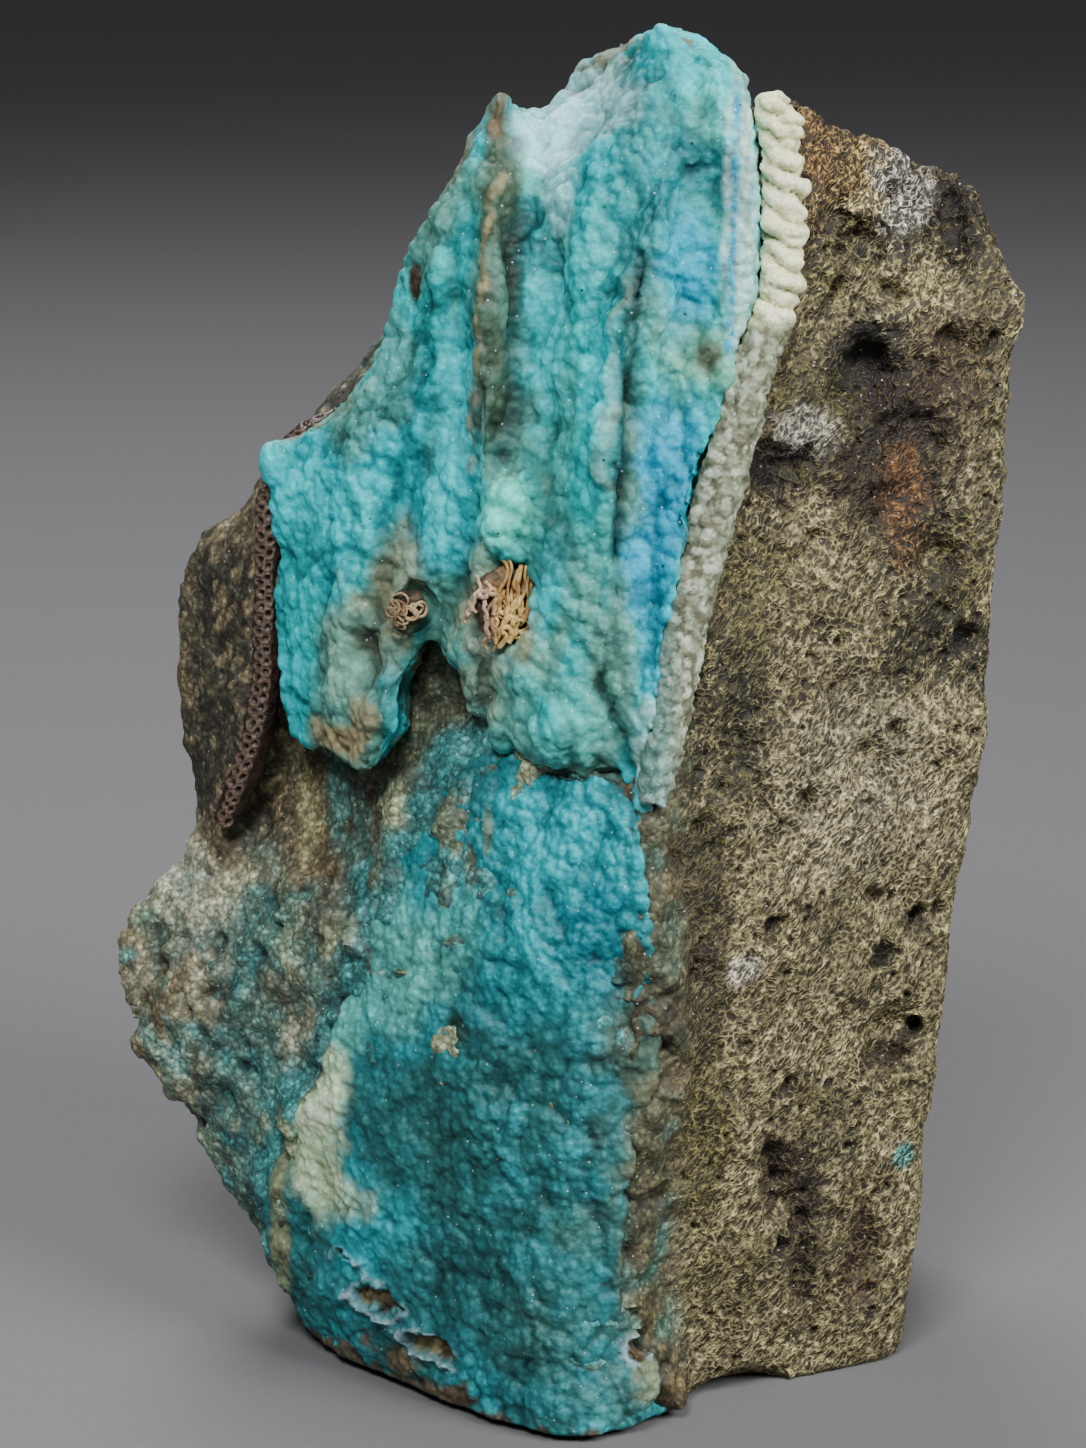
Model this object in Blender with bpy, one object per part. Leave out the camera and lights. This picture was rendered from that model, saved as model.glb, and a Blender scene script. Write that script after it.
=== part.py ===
# A hand specimen of botryoidal hemimorphite on its host rock, standing on a flat base.
# Lengths are in millimetres until a mesh is made; x runs to the right, y away from the show side, z up.
# The origin is on the flat base. The rock is lofted between its own edge lines, and each mineral crust
# between flow lines that run down it, the way the crust grew.

import math

import bpy
import bmesh
from mathutils import Matrix, Vector, noise

MM = 0.001
CLEARANCE = 0.3            # left between pieces that grew against each other
WELD = 0.00001             # metres: joins a bar's caps to its side

ROCK_RINGS = 32            # rows up the rock
ROCK_ROUGHNESS = 0.95      # height of the broken surface's relief
ROCK_GRAIN = 6.5           # width of that relief

CRUST_BETWEEN = 1          # extra columns between two flow lines
LOBE_WIDTH = 5.5           # the botryoidal lobes of the crust
LOBE_HEIGHT = 0.9
LOBE_REACH = 0.75          # from a lobe's crown to its valley, as a share of its width
LOBE_SQUEEZE = 0.7         # below 1 makes the lobes longer down the flow
LOBE_LEVEL = 0.4           # the share of a lobe's height that lies below the drawn flow lines
RIM_RELIEF = 0.3           # the share of the relief that is left at a crust's side edges
BACK_SLANT = 0.12          # a crust's back leans to the right by this share of its depth
FOOT_START = 0.7           # the part of a flow line below this share of its length thins to its foot

FINE_GRAIN_SHARE = 0.45    # the rock's finer relief, against the wide one
FINE_GRAIN_PLACE = (31, 7, 12)
SHARP_ANGLE = 40           # degrees between faces, above which their edge stays sharp

# The rock's edge lines, each from the base to the top, going round as seen from above. The number before
# a line is how many extra columns stand between it and the next.
ROCK_LINES = {
    "prow": (2, [(13, -20, 0), (10.5, -23, 12), (9.5, -24.5, 22.5), (10.5, -24.5, 29.5),
        (12.5, -24, 36.5), (11.5, -24.5, 42.5), (10.5, -25, 48.5), (9.5, -25, 57), (11, -24, 61),
        (12.5, -22.5, 66), (13.5, -21.5, 72.5), (15, -20.5, 77.5), (16.5, -19.5, 83), (18, -18, 89.5),
        (20, -16, 97.5), (22.5, -14, 105.5), (23.5, -11.5, 115), (23, -8, 123.5)]),
    "near_face": (2, [(20, -17, 0), (19.5, -20, 12), (18.5, -20.5, 22.5), (20, -20.5, 35),
        (21, -19.5, 48), (21, -19, 60), (23, -17, 72), (25, -14.5, 84), (28, -11.5, 98), (29.5, -9, 109),
        (30, -1, 119.5)]),
    "far_face": (1, [(28, -14, 0), (28, -16, 12), (28, -15.5, 22.5), (29.5, -15, 35), (31.5, -13.5, 48),
        (32, -12.5, 60), (33, -11, 72), (34.5, -9, 84), (36.5, -7, 98), (37, -5.5, 106), (36, 1.5, 117)]),
    "right_edge": (2, [(35, -10.5, 0), (36, -11.5, 9), (37, -11, 17), (37, -10.5, 24), (38.5, -10, 32.5),
        (39, -9.5, 37.5), (39.5, -8, 47), (41, -7, 53.5), (42.5, -6, 61.5), (43, -5, 68), (43, -4.5, 74),
        (43.5, -4, 79.5), (44, -3.5, 85.5), (44.5, -3, 93), (45, -2.5, 99.5), (45, -2, 105.5),
        (43, -1.5, 110), (40, 3, 115.5)]),
    "right_flank": (2, [(37, 6, 0), (39, 7, 30), (41, 9, 60), (42, 10, 90), (41, 11, 104),
        (37, 11, 112)]),
    "back_right": (3, [(33, 21, 0), (36, 25, 30), (38, 27, 60), (37, 26, 88), (34, 22, 103),
        (29, 17, 111)]),
    "back": (3, [(8, 26, 0), (9, 31, 25), (10, 33, 60), (10, 31, 88), (10, 25, 104), (10, 17, 113)]),
    "back_left": (2, [(-14, 21, 0), (-20, 26, 20), (-25, 29, 42), (-24, 30, 65), (-20, 27, 86),
        (-11, 20, 102), (-2, 13, 113)]),
    "left_outline": (2, [(-23, 8, 0), (-27, 5, 4), (-28.5, 4, 8.5), (-33.5, 4, 13.5), (-35, 5, 18.5),
        (-38.5, 6, 22.5), (-43, 7, 30), (-43.5, 8, 34.5), (-40.5, 10, 42), (-36, 12, 45), (-35, 14, 48.5),
        (-37, 15, 56.5), (-37.5, 15, 66), (-37, 15, 71.5), (-35.5, 15, 77.5), (-29, 13, 83),
        (-27, 11, 87), (-21.5, 10, 91.5), (-14, 11, 101), (-8, 10, 110), (-3, 8, 116)]),
    "slab_edge": (0, [(-21.5, -4, 0), (-24, -5, 9.5), (-29, -2, 22), (-32.5, 0, 34), (-33.5, 4, 43),
        (-33.5, 6, 48), (-31, 6, 54), (-29, 5, 63.5), (-27.5, 5, 73.5), (-27, 5, 83.5), (-26.5, 6, 88),
        (-20.5, 7, 92), (-14, 4, 100), (-9.5, 0, 109), (-4.5, 1, 116.5)]),
    "crack": (3, [(-18, -9, 0), (-20, -9.5, 9), (-21, -9, 16.5), (-26, -4, 30), (-28.5, -0.5, 39),
        (-31, 3.5, 45), (-28.5, 8, 52), (-26.5, 9.5, 60), (-26, 9.5, 72.5), (-25.5, 9.5, 82.5),
        (-23, 8, 88.5), (-16.5, 2, 95), (-13, 0, 102), (-9, -3, 110), (-4, -1.5, 117)]),
    "front_left": (1, [(-13.5, -14, 0), (-17.5, -11, 8), (-16.5, -12.5, 20), (-15.5, -13, 37),
        (-13, -11.5, 50), (-13.5, -7, 60), (-14, -5.5, 68), (-14, -6, 77), (-14, -5.5, 85),
        (-10.5, -6, 97), (-8, -5, 107), (-3, -3, 118)]),
    "alcove": (1, [(-8, -18.5, 0), (-11, -16.5, 9), (-11, -16.5, 20), (-9, -17.5, 37), (-7, -16, 50),
        (-6, -13, 60), (-7, -8.5, 68), (-7, -8.5, 75), (-5.5, -10, 83), (-4.5, -10, 97), (-2.5, -8, 109),
        (0, -2, 118.5)]),
    "front_right": (1, [(-1, -26, 0), (-3.5, -23, 10), (-3.5, -22, 20), (-2.5, -21.5, 37),
        (-1, -19.5, 50), (0, -16.5, 62), (0, -15.5, 72), (1, -15, 85), (2.5, -12.5, 100), (4, -9, 112),
        (6, -2, 120.5)]),
    "behind_prow": (1, [(4.5, -27.5, 0), (3.5, -26.5, 10), (3.5, -25.2, 20), (5, -24.5, 37),
        (5.5, -23.5, 48), (6, -21.5, 57), (7, -20, 66), (7.5, -18, 78), (9, -16, 90), (12, -13, 103),
        (13.5, -10, 114), (13, -4, 123)]),
}

# Hollows broken out of the rock: centre, and the half-lengths of the ellipsoid that is taken away.
ROCK_HOLLOWS = {
    "upper_pit": ((30.3, -12.0, 100.5), (3.2, 4.0, 3.4)),
    "chamfer_pit": ((29.5, -6.5, 110.5), (3.4, 2.6, 2.6)),
    "prow_pit": ((21.5, -18.3, 91), (1.8, 2.4, 2.4)),
    "edge_pit": ((38.3, -7.8, 80.5), (3.6, 3.0, 2.6)),
    "middle_pit": ((31.5, -13.4, 62), (3.4, 2.6, 3.0)),
    "side_pit": ((36, -11.2, 47.5), (2.2, 2.0, 1.6)),
    "lower_pit": ((34.2, -12.6, 35), (3.6, 3.0, 2.8)),
    "long_pit": ((25.5, -18.1, 19.5), (1.9, 2.6, 4.6)),
    "base_notch": ((20.5, -20, -0.4), (6.4, 6.0, 3.6)),
    "flank_pit": ((-33, -2.2, 28.5), (3.4, 3.2, 3.8)),
}

# The fissure between the slab and the front of the rock: points down its length, with its half-width.
FISSURE_LINE = [(-24.6, 3, 80, 0.5), (-25.0, 3, 74, 0.7), (-25.1, 3, 66, 0.9), (-25.4, 3, 60, 1.1),
                (-26.4, 3, 55, 1.2), (-28.0, 3, 50.5, 1.2), (-29.8, 3, 46.8, 1.0), (-31.4, 3, 43.2, 0.7),
                (-32.6, 3, 40, 0.4)]
FISSURE_DEPTH = 6.0        # half its depth, as a multiple of the half-width

# The upper crust hangs like a curtain. Each flow line goes from its top edge to its lower edge.
CURTAIN_LINES = [
    ("left_rim", 1.8, [(-26, 0, 89), (-25.5, 0.5, 84.5), (-25, 1, 78.5), (-25.5, 1, 72.5),
        (-25, 0.5, 66.5), (-24.5, 0, 61)]),
    ("left_face", 3.5, [(-19.5, -3, 94.5), (-20.5, -5, 89.5), (-20, -5.5, 84), (-21, -5.5, 77),
        (-21, -5.5, 71), (-21, -5.5, 66), (-20.5, -4.5, 60.8)]),
    ("left_lobe", 6.5, [(-15, -5, 101.5), (-15.5, -8, 96), (-15.5, -8.5, 89.5), (-16, -8.5, 82.5),
        (-16.5, -9.5, 77), (-16, -11, 71.5), (-16, -11.5, 66), (-16.5, -10, 60.2)]),
    ("left_drape", 7.5, [(-11.5, -5, 111.5), (-11, -9.5, 103.5), (-10.5, -10.5, 96.5), (-11, -11, 90),
        (-12, -11.5, 83.5), (-12.5, -12.5, 77.5), (-13, -12.5, 73), (-13.5, -12, 68), (-14, -10, 63)]),
    ("bright_run", 7.5, [(-7, -5.5, 119), (-7, -10, 110), (-7.5, -11, 101), (-7.5, -12, 94),
        (-8, -12.5, 87.5), (-8.5, -13.5, 81), (-10, -13.5, 76), (-10.5, -12, 73)]),
    ("brown_rib", 8.0, [(-3.5, -5, 122.5), (-4, -9, 118.5), (-5, -13, 111.5), (-5.5, -15.3, 103.5),
        (-5.5, -15.8, 94.5), (-6, -16.3, 86), (-6, -17, 78.5), (-6.5, -17, 74), (-5.5, -15, 67.5)]),
    ("rib_valley", 8.0, [(0, 3, 122.5), (-0.5, -2, 120.5), (-1.3, -7, 117), (-2.3, -10.5, 111.5),
        (-2.7, -12, 103), (-2.7, -13.7, 95), (-3, -15.5, 88), (-3, -17.5, 81), (-4, -17.5, 74),
        (-5, -16, 68)]),
    ("drape", 8.5, [(5.5, 1, 126), (4.5, -5, 122.5), (3, -10, 118.5), (2, -13.8, 110.5),
        (1.5, -15.8, 102), (1, -17.3, 93), (0, -20.3, 86), (0.5, -19.8, 79.5), (0, -20.5, 72),
        (-0.5, -21, 66), (-0.5, -18.5, 62.8)]),
    ("peak_ridge", 9.0, [(10, -7, 130), (8.5, -13.8, 122.5), (7, -16, 114), (6, -18, 105), (5, -20, 96),
        (4.5, -20.8, 87), (4.5, -21.3, 79.5), (4.5, -22.5, 72.5), (4, -22.5, 66.5), (3.5, -20.5, 63)]),
    ("lip", 9.0, [(13.5, -9, 129), (12, -15, 122), (10, -17.8, 114), (8, -20.3, 104.5), (7, -21.8, 96.5),
        (6.5, -22.3, 89), (6.5, -22.5, 83), (7, -22.8, 76.5), (7, -23, 71), (7, -22, 63.5)]),
    ("pool", 8.0, [(14.5, -10, 128.5), (13.5, -14, 121), (13, -15.6, 113), (11.2, -16.5, 105),
        (9.5, -18, 96), (9, -19.5, 89), (9, -20.8, 82.5), (9, -22, 76), (8.5, -23, 71),
        (8.6, -23.6, 61)]),
    ("pool_bank", 6.0, [(16, -11, 128), (16, -14.5, 121), (16.5, -16, 113), (16, -17.5, 105),
        (14, -19, 98), (13, -20.5, 91), (11.5, -21.5, 83.5), (10.5, -23, 76.5), (10, -24, 70),
        (9.6, -25, 59.5)]),
    ("cut_edge", 3.0, [(17.8, -12, 127), (19, -13.5, 121.5), (19.5, -15, 115.5), (19.4, -17, 106.5),
        (17.6, -18.3, 103), (16.8, -19.2, 98), (16.1, -20.3, 92.5), (14.8, -21.3, 87.5),
        (13.3, -22.3, 82), (12.2, -23.3, 76.5), (10.6, -24.0, 71), (9.8, -25.0, 66),
        (10.2, -25.8, 58.5)]),
]
CURTAIN_ROWS = 25
# Broad swells of the curtain: place, radius and height.
CURTAIN_SWELLS = {
    "middle": ((5, -21, 79), 5.5, 0.9),
    "rib_head": ((-4.2, -10, 117), 3.0, 1.0),
    "left_upper": ((-17, -8, 95), 5.0, 1.1),
    "left_middle": ((-19, -6.5, 79), 5.5, 0.9),
    "pendant_shoulder": ((-16, -11, 74), 4.0, 0.9),
}
# Rounded lobes that stand out of it: centre and half-lengths.
CURTAIN_LOBES = {
    "mint_bulge": ((-2.1, -15.8, 86.4), (3.9, 3.6, 4.9)),
    "bulb": ((2.0, -18.6, 67.4), (4.6, 4.6, 4.3)),
    "bulb_left": ((-3.4, -15.8, 68.6), (2.2, 3.0, 4.6)),
    "small_pendant": ((-6.0, -14.4, 71.0), (1.7, 2.6, 4.3)),
    "ring_lobe": ((-12.9, -10.4, 74.6), (2.9, 3.0, 3.0)),
    "left_pendant": ((-14.9, -8.6, 67.2), (3.0, 4.2, 5.4)),
}
LOBES_OVER_APRON = ("bulb", "bulb_left")
CURTAIN_FOOT_THICKNESS = 4.0   # the free lower edge is thinner than the part that lies on the rock
APRON_FOOT_THICKNESS = 3.0
LUMP_WOBBLE = 0.12             # how uneven a lump is, as a share of its size
NEST_WOBBLE = 0.3
WOBBLE_GRAIN = 1.7

# The lower crust spreads over the foot of the rock like an apron.
APRON_LINES = [
    ("left_edge", 3.0, [(-12, -10.5, 57.5), (-15, -11, 51.5), (-17.5, -12.3, 45), (-19.5, -12.5, 37),
        (-22, -11.8, 30), (-25, -8.5, 23), (-28, -6, 15), (-27.5, -5.8, 10.5), (-26, -6, 5),
        (-22.8, -7, 0.9)]),
    ("cream_fold", 4.0, [(-9.5, -13, 60), (-10.5, -15, 53), (-13, -16, 45.5), (-14.5, -16.5, 37.5),
        (-16.5, -16.5, 29.5), (-19.5, -14.5, 20), (-21.5, -12.8, 12), (-20, -13.2, 4.5),
        (-17, -15, 0.7)]),
    ("left_run", 4.5, [(-5.2, -15.5, 64), (-6, -18.5, 55), (-8, -20, 45.5), (-9, -21, 36),
        (-10.5, -20.5, 26), (-13, -19.5, 15), (-12, -20.3, 7), (-9.5, -21.8, 0.6)]),
    ("middle", 4.5, [(-0.5, -19, 64), (-0.5, -22, 55), (-1, -24, 46), (-2.5, -24.5, 36.5),
        (-4, -24.6, 26.5), (-5, -25, 16.5), (-4, -26.5, 8), (-1.5, -28.6, 0.6)]),
    ("nose", 4.5, [(5.5, -22.5, 63.5), (5, -25, 55), (5, -27, 46), (3.5, -27.2, 36), (2, -27.7, 27.5),
        (2, -28.3, 17.5), (3, -29.2, 9.5), (4.5, -30, 0.6)]),
    ("right_edge", 2.6, [(9.5, -25.2, 61), (9, -27, 57), (10, -27.3, 49), (10.8, -26.8, 43),
        (10, -27, 35.5), (7.5, -27.8, 24), (7.5, -28, 14), (10.5, -25.8, 5), (11.5, -24.2, 0.8)]),
]
APRON_ROWS = 22
APRON_SWELLS = {
    "upper": ((-1, -23, 47), 7.0, 1.1),
    "right": ((6, -26.5, 38), 6.0, 1.1),
    "middle": ((-5, -24, 30), 6.5, 1.0),
    "left": ((-15, -17, 26), 5.0, 1.0),
    "foot": ((-2, -27, 12), 6.0, 1.0),
    "left_foot": ((-18, -14, 9), 5.0, 0.8),
}
FOOT_LOBE = ((8.3, -26.6, 5.2), (3.1, 2.2, 4.0))   # the pale grey lobe at the foot of the apron

# The pale layer between crust and rock shows along their broken side: a bar, with a rope of beads
# at its top.
RIND_LINE = [(21.2, -10.5, 123.4, 1.5), (22.0, -11.5, 119, 1.6), (22.3, -13, 113.5, 1.7),
             (21.9, -14.5, 107.5, 1.7), (20.5, -16, 103.5, 1.9), (18.8, -17.3, 99.5, 2.0),
             (18.0, -18, 95.5, 2.1), (16.6, -19.2, 90.5, 2.0), (15.3, -20.2, 85.5, 2.0),
             (14.0, -21.3, 80.5, 1.9), (12.8, -22.3, 75, 1.9), (12.0, -23.1, 69.8, 1.8),
             (11.0, -24.2, 65, 1.7), (10.4, -25, 61.5, 1.2)]
RIND_BEADS = 10
BEAD_RADIUS = 1.75
BEAD_HEIGHT_SHARE = 0.8    # a bead is a little flatter than it is wide
BEAD_CHANGE = (0.16, 2.3)  # how much the beads differ in size, and the turn from one to the next in radians
BEAD_SWAY = (0.35, 1.9)    # how far they stand to either side, and the turn from one to the next
BEAD_OFFSET = (0.2, -0.5)  # their rope lies in front of the bar's middle line
ROPE_FOOT = 105.0          # height at which the rope of beads ends

# The cellular vein runs down the front edge of the dark slab.
VEIN_LINE = [(-19.8, 4.2, 92.2, 0.8), (-22.6, 3.5, 90.7, 1.2), (-25.3, 2.9, 88.3, 1.4),
             (-26.4, 2.7, 83.5, 1.5), (-26.5, 2.7, 77.6, 1.5), (-26.9, 2.7, 71.7, 1.5),
             (-27.0, 2.7, 65.9, 1.5), (-27.8, 3.0, 61.2, 1.6), (-29.0, 3.4, 57.4, 1.6),
             (-30.5, 3.8, 53.7, 1.5), (-31.8, 4.1, 51.2, 1.1)]

# Two nests of skeletal boxwork sit in sockets of the curtain: centre and half-lengths.
TAN_NEST = ((-3.4, -17.4, 78.4), (3.8, 1.9, 4.3))
BROWN_NEST = ((-12.6, -12.8, 77.2), (2.1, 1.6, 2.0))


def clear_scene():
    for old in list(bpy.data.objects):
        bpy.data.objects.remove(old)


def material(name, colour, roughness):
    made = bpy.data.materials.new(name)
    made.use_nodes = True
    shader = made.node_tree.nodes["Principled BSDF"]
    shader.inputs["Base Color"].default_value = (*colour, 1)
    shader.inputs["Roughness"].default_value = roughness
    return made


def add_object(name, mesh, collection, finish=None):
    made = bpy.data.objects.new(name, mesh)
    collection.objects.link(made)
    if finish:
        mesh.materials.append(finish)
    mesh.polygons.foreach_set("use_smooth", [True] * len(mesh.polygons))
    mesh.set_sharp_from_angle(angle=math.radians(SHARP_ANGLE))
    return made


def mesh_from(bm, name):
    bmesh.ops.recalc_face_normals(bm, faces=bm.faces)
    bmesh.ops.triangulate(bm, faces=bm.faces)
    mesh = bpy.data.meshes.new(name)
    bm.to_mesh(mesh)
    bm.free()
    return mesh


def along(line, count):
    # Evenly spaced points along a line of points, its ends included.
    points = [Vector(p) for p in line]
    steps = [(b - a).length for a, b in zip(points, points[1:])]
    whole = sum(steps)
    made = []
    for i in range(count):
        left = whole * i / (count - 1)
        k = 0
        while k < len(steps) - 1 and left > steps[k]:
            left -= steps[k]
            k += 1
        made.append(points[k].lerp(points[k + 1], min(1.0, left / steps[k])))
    return made


def up_to(line, count):
    # Points of a rising line at evenly spaced heights.
    points = [Vector(p) for p in line]
    low, high = points[0].z, points[-1].z
    made = []
    k = 0
    for i in range(count):
        z = low + (high - low) * i / (count - 1)
        while k < len(points) - 2 and z > points[k + 1].z:
            k += 1
        a, b = points[k], points[k + 1]
        made.append(a.lerp(b, min(1.0, (z - a.z) / (b.z - a.z))))
    return made


def rounded(a, b, c, d, t):
    # Catmull-Rom between b and c.
    bend = (2 * a - 5 * b + 4 * c - d) * t * t + (3 * b - a - 3 * c + d) * t ** 3
    return (2 * b + (c - a) * t + bend) / 2


def broken_relief(p):
    # Height of the broken rock at a place, from -1 to 1.
    wide = noise.noise(p / ROCK_GRAIN)
    fine = noise.noise(p / (ROCK_GRAIN * FINE_GRAIN_SHARE) + Vector(FINE_GRAIN_PLACE))
    return wide + fine / 2


def lobe_relief(p, width):
    # Rounded lobes that meet in sharp valleys, from 0 in a valley to 1 on a crown, longer down the flow.
    nearest = noise.voronoi(Vector((p.x, p.y, p.z * LOBE_SQUEEZE)) / width)[0][0]
    return 1 - min(1.0, nearest / LOBE_REACH) ** 2


def make_rock(collection, finish):
    columns = []
    lines = list(ROCK_LINES.values())
    for (between, near), (_, far) in zip(lines, lines[1:] + lines[:1]):
        left, right = up_to(near, ROCK_RINGS), up_to(far, ROCK_RINGS)
        for i in range(between + 1):
            share = i / (between + 1)
            columns.append([a.lerp(b, share) for a, b in zip(left, right)])
    bm = bmesh.new()
    grid = [[bm.verts.new(p) for p in column] for column in columns]
    for near, far in zip(grid, grid[1:] + grid[:1]):
        for i in range(ROCK_RINGS - 1):
            bm.faces.new((near[i], far[i], far[i + 1], near[i + 1]))
    top = bm.faces.new([column[-1] for column in grid])
    bm.faces.new([column[0] for column in grid])
    bmesh.ops.recalc_face_normals(bm, faces=bm.faces)
    bmesh.ops.poke(bm, faces=[top])
    bm.normal_update()
    base = {v for column in grid for v in column[:1]}
    for v in bm.verts:
        if v not in base:
            v.co += v.normal * ROCK_ROUGHNESS * broken_relief(v.co)
    bmesh.ops.scale(bm, vec=(MM, MM, MM), verts=bm.verts)
    return add_object("matrix_rock", mesh_from(bm, "matrix_rock"), collection, finish)


def swelling(p, swells):
    # How far the swells push a place outwards. Each is a smooth dome.
    total = 0
    for centre, radius, height in swells.values():
        share = min(1.0, (p - Vector(centre)).length / radius)
        total = max(total, height * (1 - share * share) ** 2)
    return total


def make_crust(name, lines, rows, foot_thickness, swells, collection, finish):
    # A sheet through the flow lines, with a depth towards the rock, which is cut out of it afterwards.
    flows = [along(points, rows) for _, _, points in lines]
    depths = [depth for _, depth, _ in lines]
    columns, thickness = [], []
    last = len(flows) - 1
    for i in range(last):
        for k in range(CRUST_BETWEEN + 1):
            t = k / (CRUST_BETWEEN + 1)
            around = [flows[max(0, i - 1)], flows[i], flows[i + 1], flows[min(last, i + 2)]]
            columns.append([rounded(*row, t) for row in zip(*around)])
            thickness.append(depths[i] * (1 - t) + depths[i + 1] * t)
    columns.append(flows[-1])
    thickness.append(depths[-1])

    bm = bmesh.new()
    front = [[bm.verts.new(p) for p in column] for column in columns]
    for near, far in zip(front, front[1:]):
        for i in range(rows - 1):
            bm.faces.new((near[i], near[i + 1], far[i + 1], far[i]))
    bm.normal_update()
    outward = 1 if sum(f.normal.y for f in bm.faces) < 0 else -1
    rim = set(front[0] + front[-1])
    relief = {}
    for v in bm.verts:
        lobes = LOBE_HEIGHT * (lobe_relief(v.co, LOBE_WIDTH) - LOBE_LEVEL)
        relief[v] = lobes + swelling(v.co, swells)
    for v in bm.verts:
        v.co += v.normal * outward * relief[v] * (RIM_RELIEF if v in rim else 1)

    back = []
    for column, depth in zip(front, thickness):
        skin = []
        for i, v in enumerate(column):
            foot = max(0.0, (i / (rows - 1) - FOOT_START) / (1 - FOOT_START))
            d = depth + (min(depth, foot_thickness) - depth) * foot
            skin.append(bm.verts.new(v.co + Vector((BACK_SLANT * d, d, 0))))
        back.append(skin)
    for near, far in zip(back, back[1:]):
        for i in range(rows - 1):
            bm.faces.new((near[i], far[i], far[i + 1], near[i + 1]))
    rim_front = front[0] + [c[-1] for c in front[1:-1]] + front[-1][::-1] + [c[0] for c in front[-2:0:-1]]
    rim_back = back[0] + [c[-1] for c in back[1:-1]] + back[-1][::-1] + [c[0] for c in back[-2:0:-1]]
    count = len(rim_front)
    for i in range(count):
        k = (i + 1) % count
        bm.faces.new((rim_front[i], rim_back[i], rim_back[k], rim_front[k]))
    bmesh.ops.scale(bm, vec=(MM, MM, MM), verts=bm.verts)
    return add_object(name, mesh_from(bm, name), collection, finish)


def make_bar(name, line, collection, finish=None):
    # A bar along a line of (x, y, z, radius).
    curve = bpy.data.curves.new(name, "CURVE")
    curve.dimensions = "3D"
    curve.bevel_depth = MM
    curve.bevel_resolution = 2
    curve.use_fill_caps = True
    spline = curve.splines.new("POLY")
    spline.points.add(len(line) - 1)
    for point, (x, y, z, radius) in zip(spline.points, line):
        point.co = (x * MM, y * MM, z * MM, 1)
        point.radius = radius
    drawn = bpy.data.objects.new(name, curve)
    collection.objects.link(drawn)
    bpy.context.view_layer.update()
    shape = bpy.data.meshes.new_from_object(drawn.evaluated_get(bpy.context.evaluated_depsgraph_get()))
    bpy.data.objects.remove(drawn)
    bm = bmesh.new()
    bm.from_mesh(shape)
    bpy.data.meshes.remove(shape)
    bmesh.ops.remove_doubles(bm, verts=bm.verts, dist=WELD)
    return add_object(name, mesh_from(bm, name), collection, finish)


def make_ellipsoid(name, centre, halves, collection, finish=None, detail=2, wobble=LUMP_WOBBLE):
    bm = bmesh.new()
    bmesh.ops.create_icosphere(bm, subdivisions=detail, radius=1)
    for v in bm.verts:
        v.co *= 1 + wobble * noise.noise(v.co * WOBBLE_GRAIN + Vector(centre))
        v.co = Vector([c + h * s for c, h, s in zip(centre, halves, v.co)])
    bmesh.ops.scale(bm, vec=(MM, MM, MM), verts=bm.verts)
    return add_object(name, mesh_from(bm, name), collection, finish)


def grown(piece, helpers):
    # The uncut piece, larger all round by the clearance, used to cut its neighbours.
    helper = bpy.data.objects.new(piece.name + "_with_clearance", piece.data)
    helpers.objects.link(helper)
    swell = helper.modifiers.new("clearance", "DISPLACE")
    swell.strength = CLEARANCE * MM
    swell.mid_level = 0
    hide(helper)
    return helper


def hide(helper):
    helper.hide_render = True
    helper.display_type = "WIRE"


def boolean(piece, other, operation):
    step = piece.modifiers.new(other.name, "BOOLEAN")
    step.object = other
    step.operation = operation
    step.solver = "EXACT"
    return step


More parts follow.
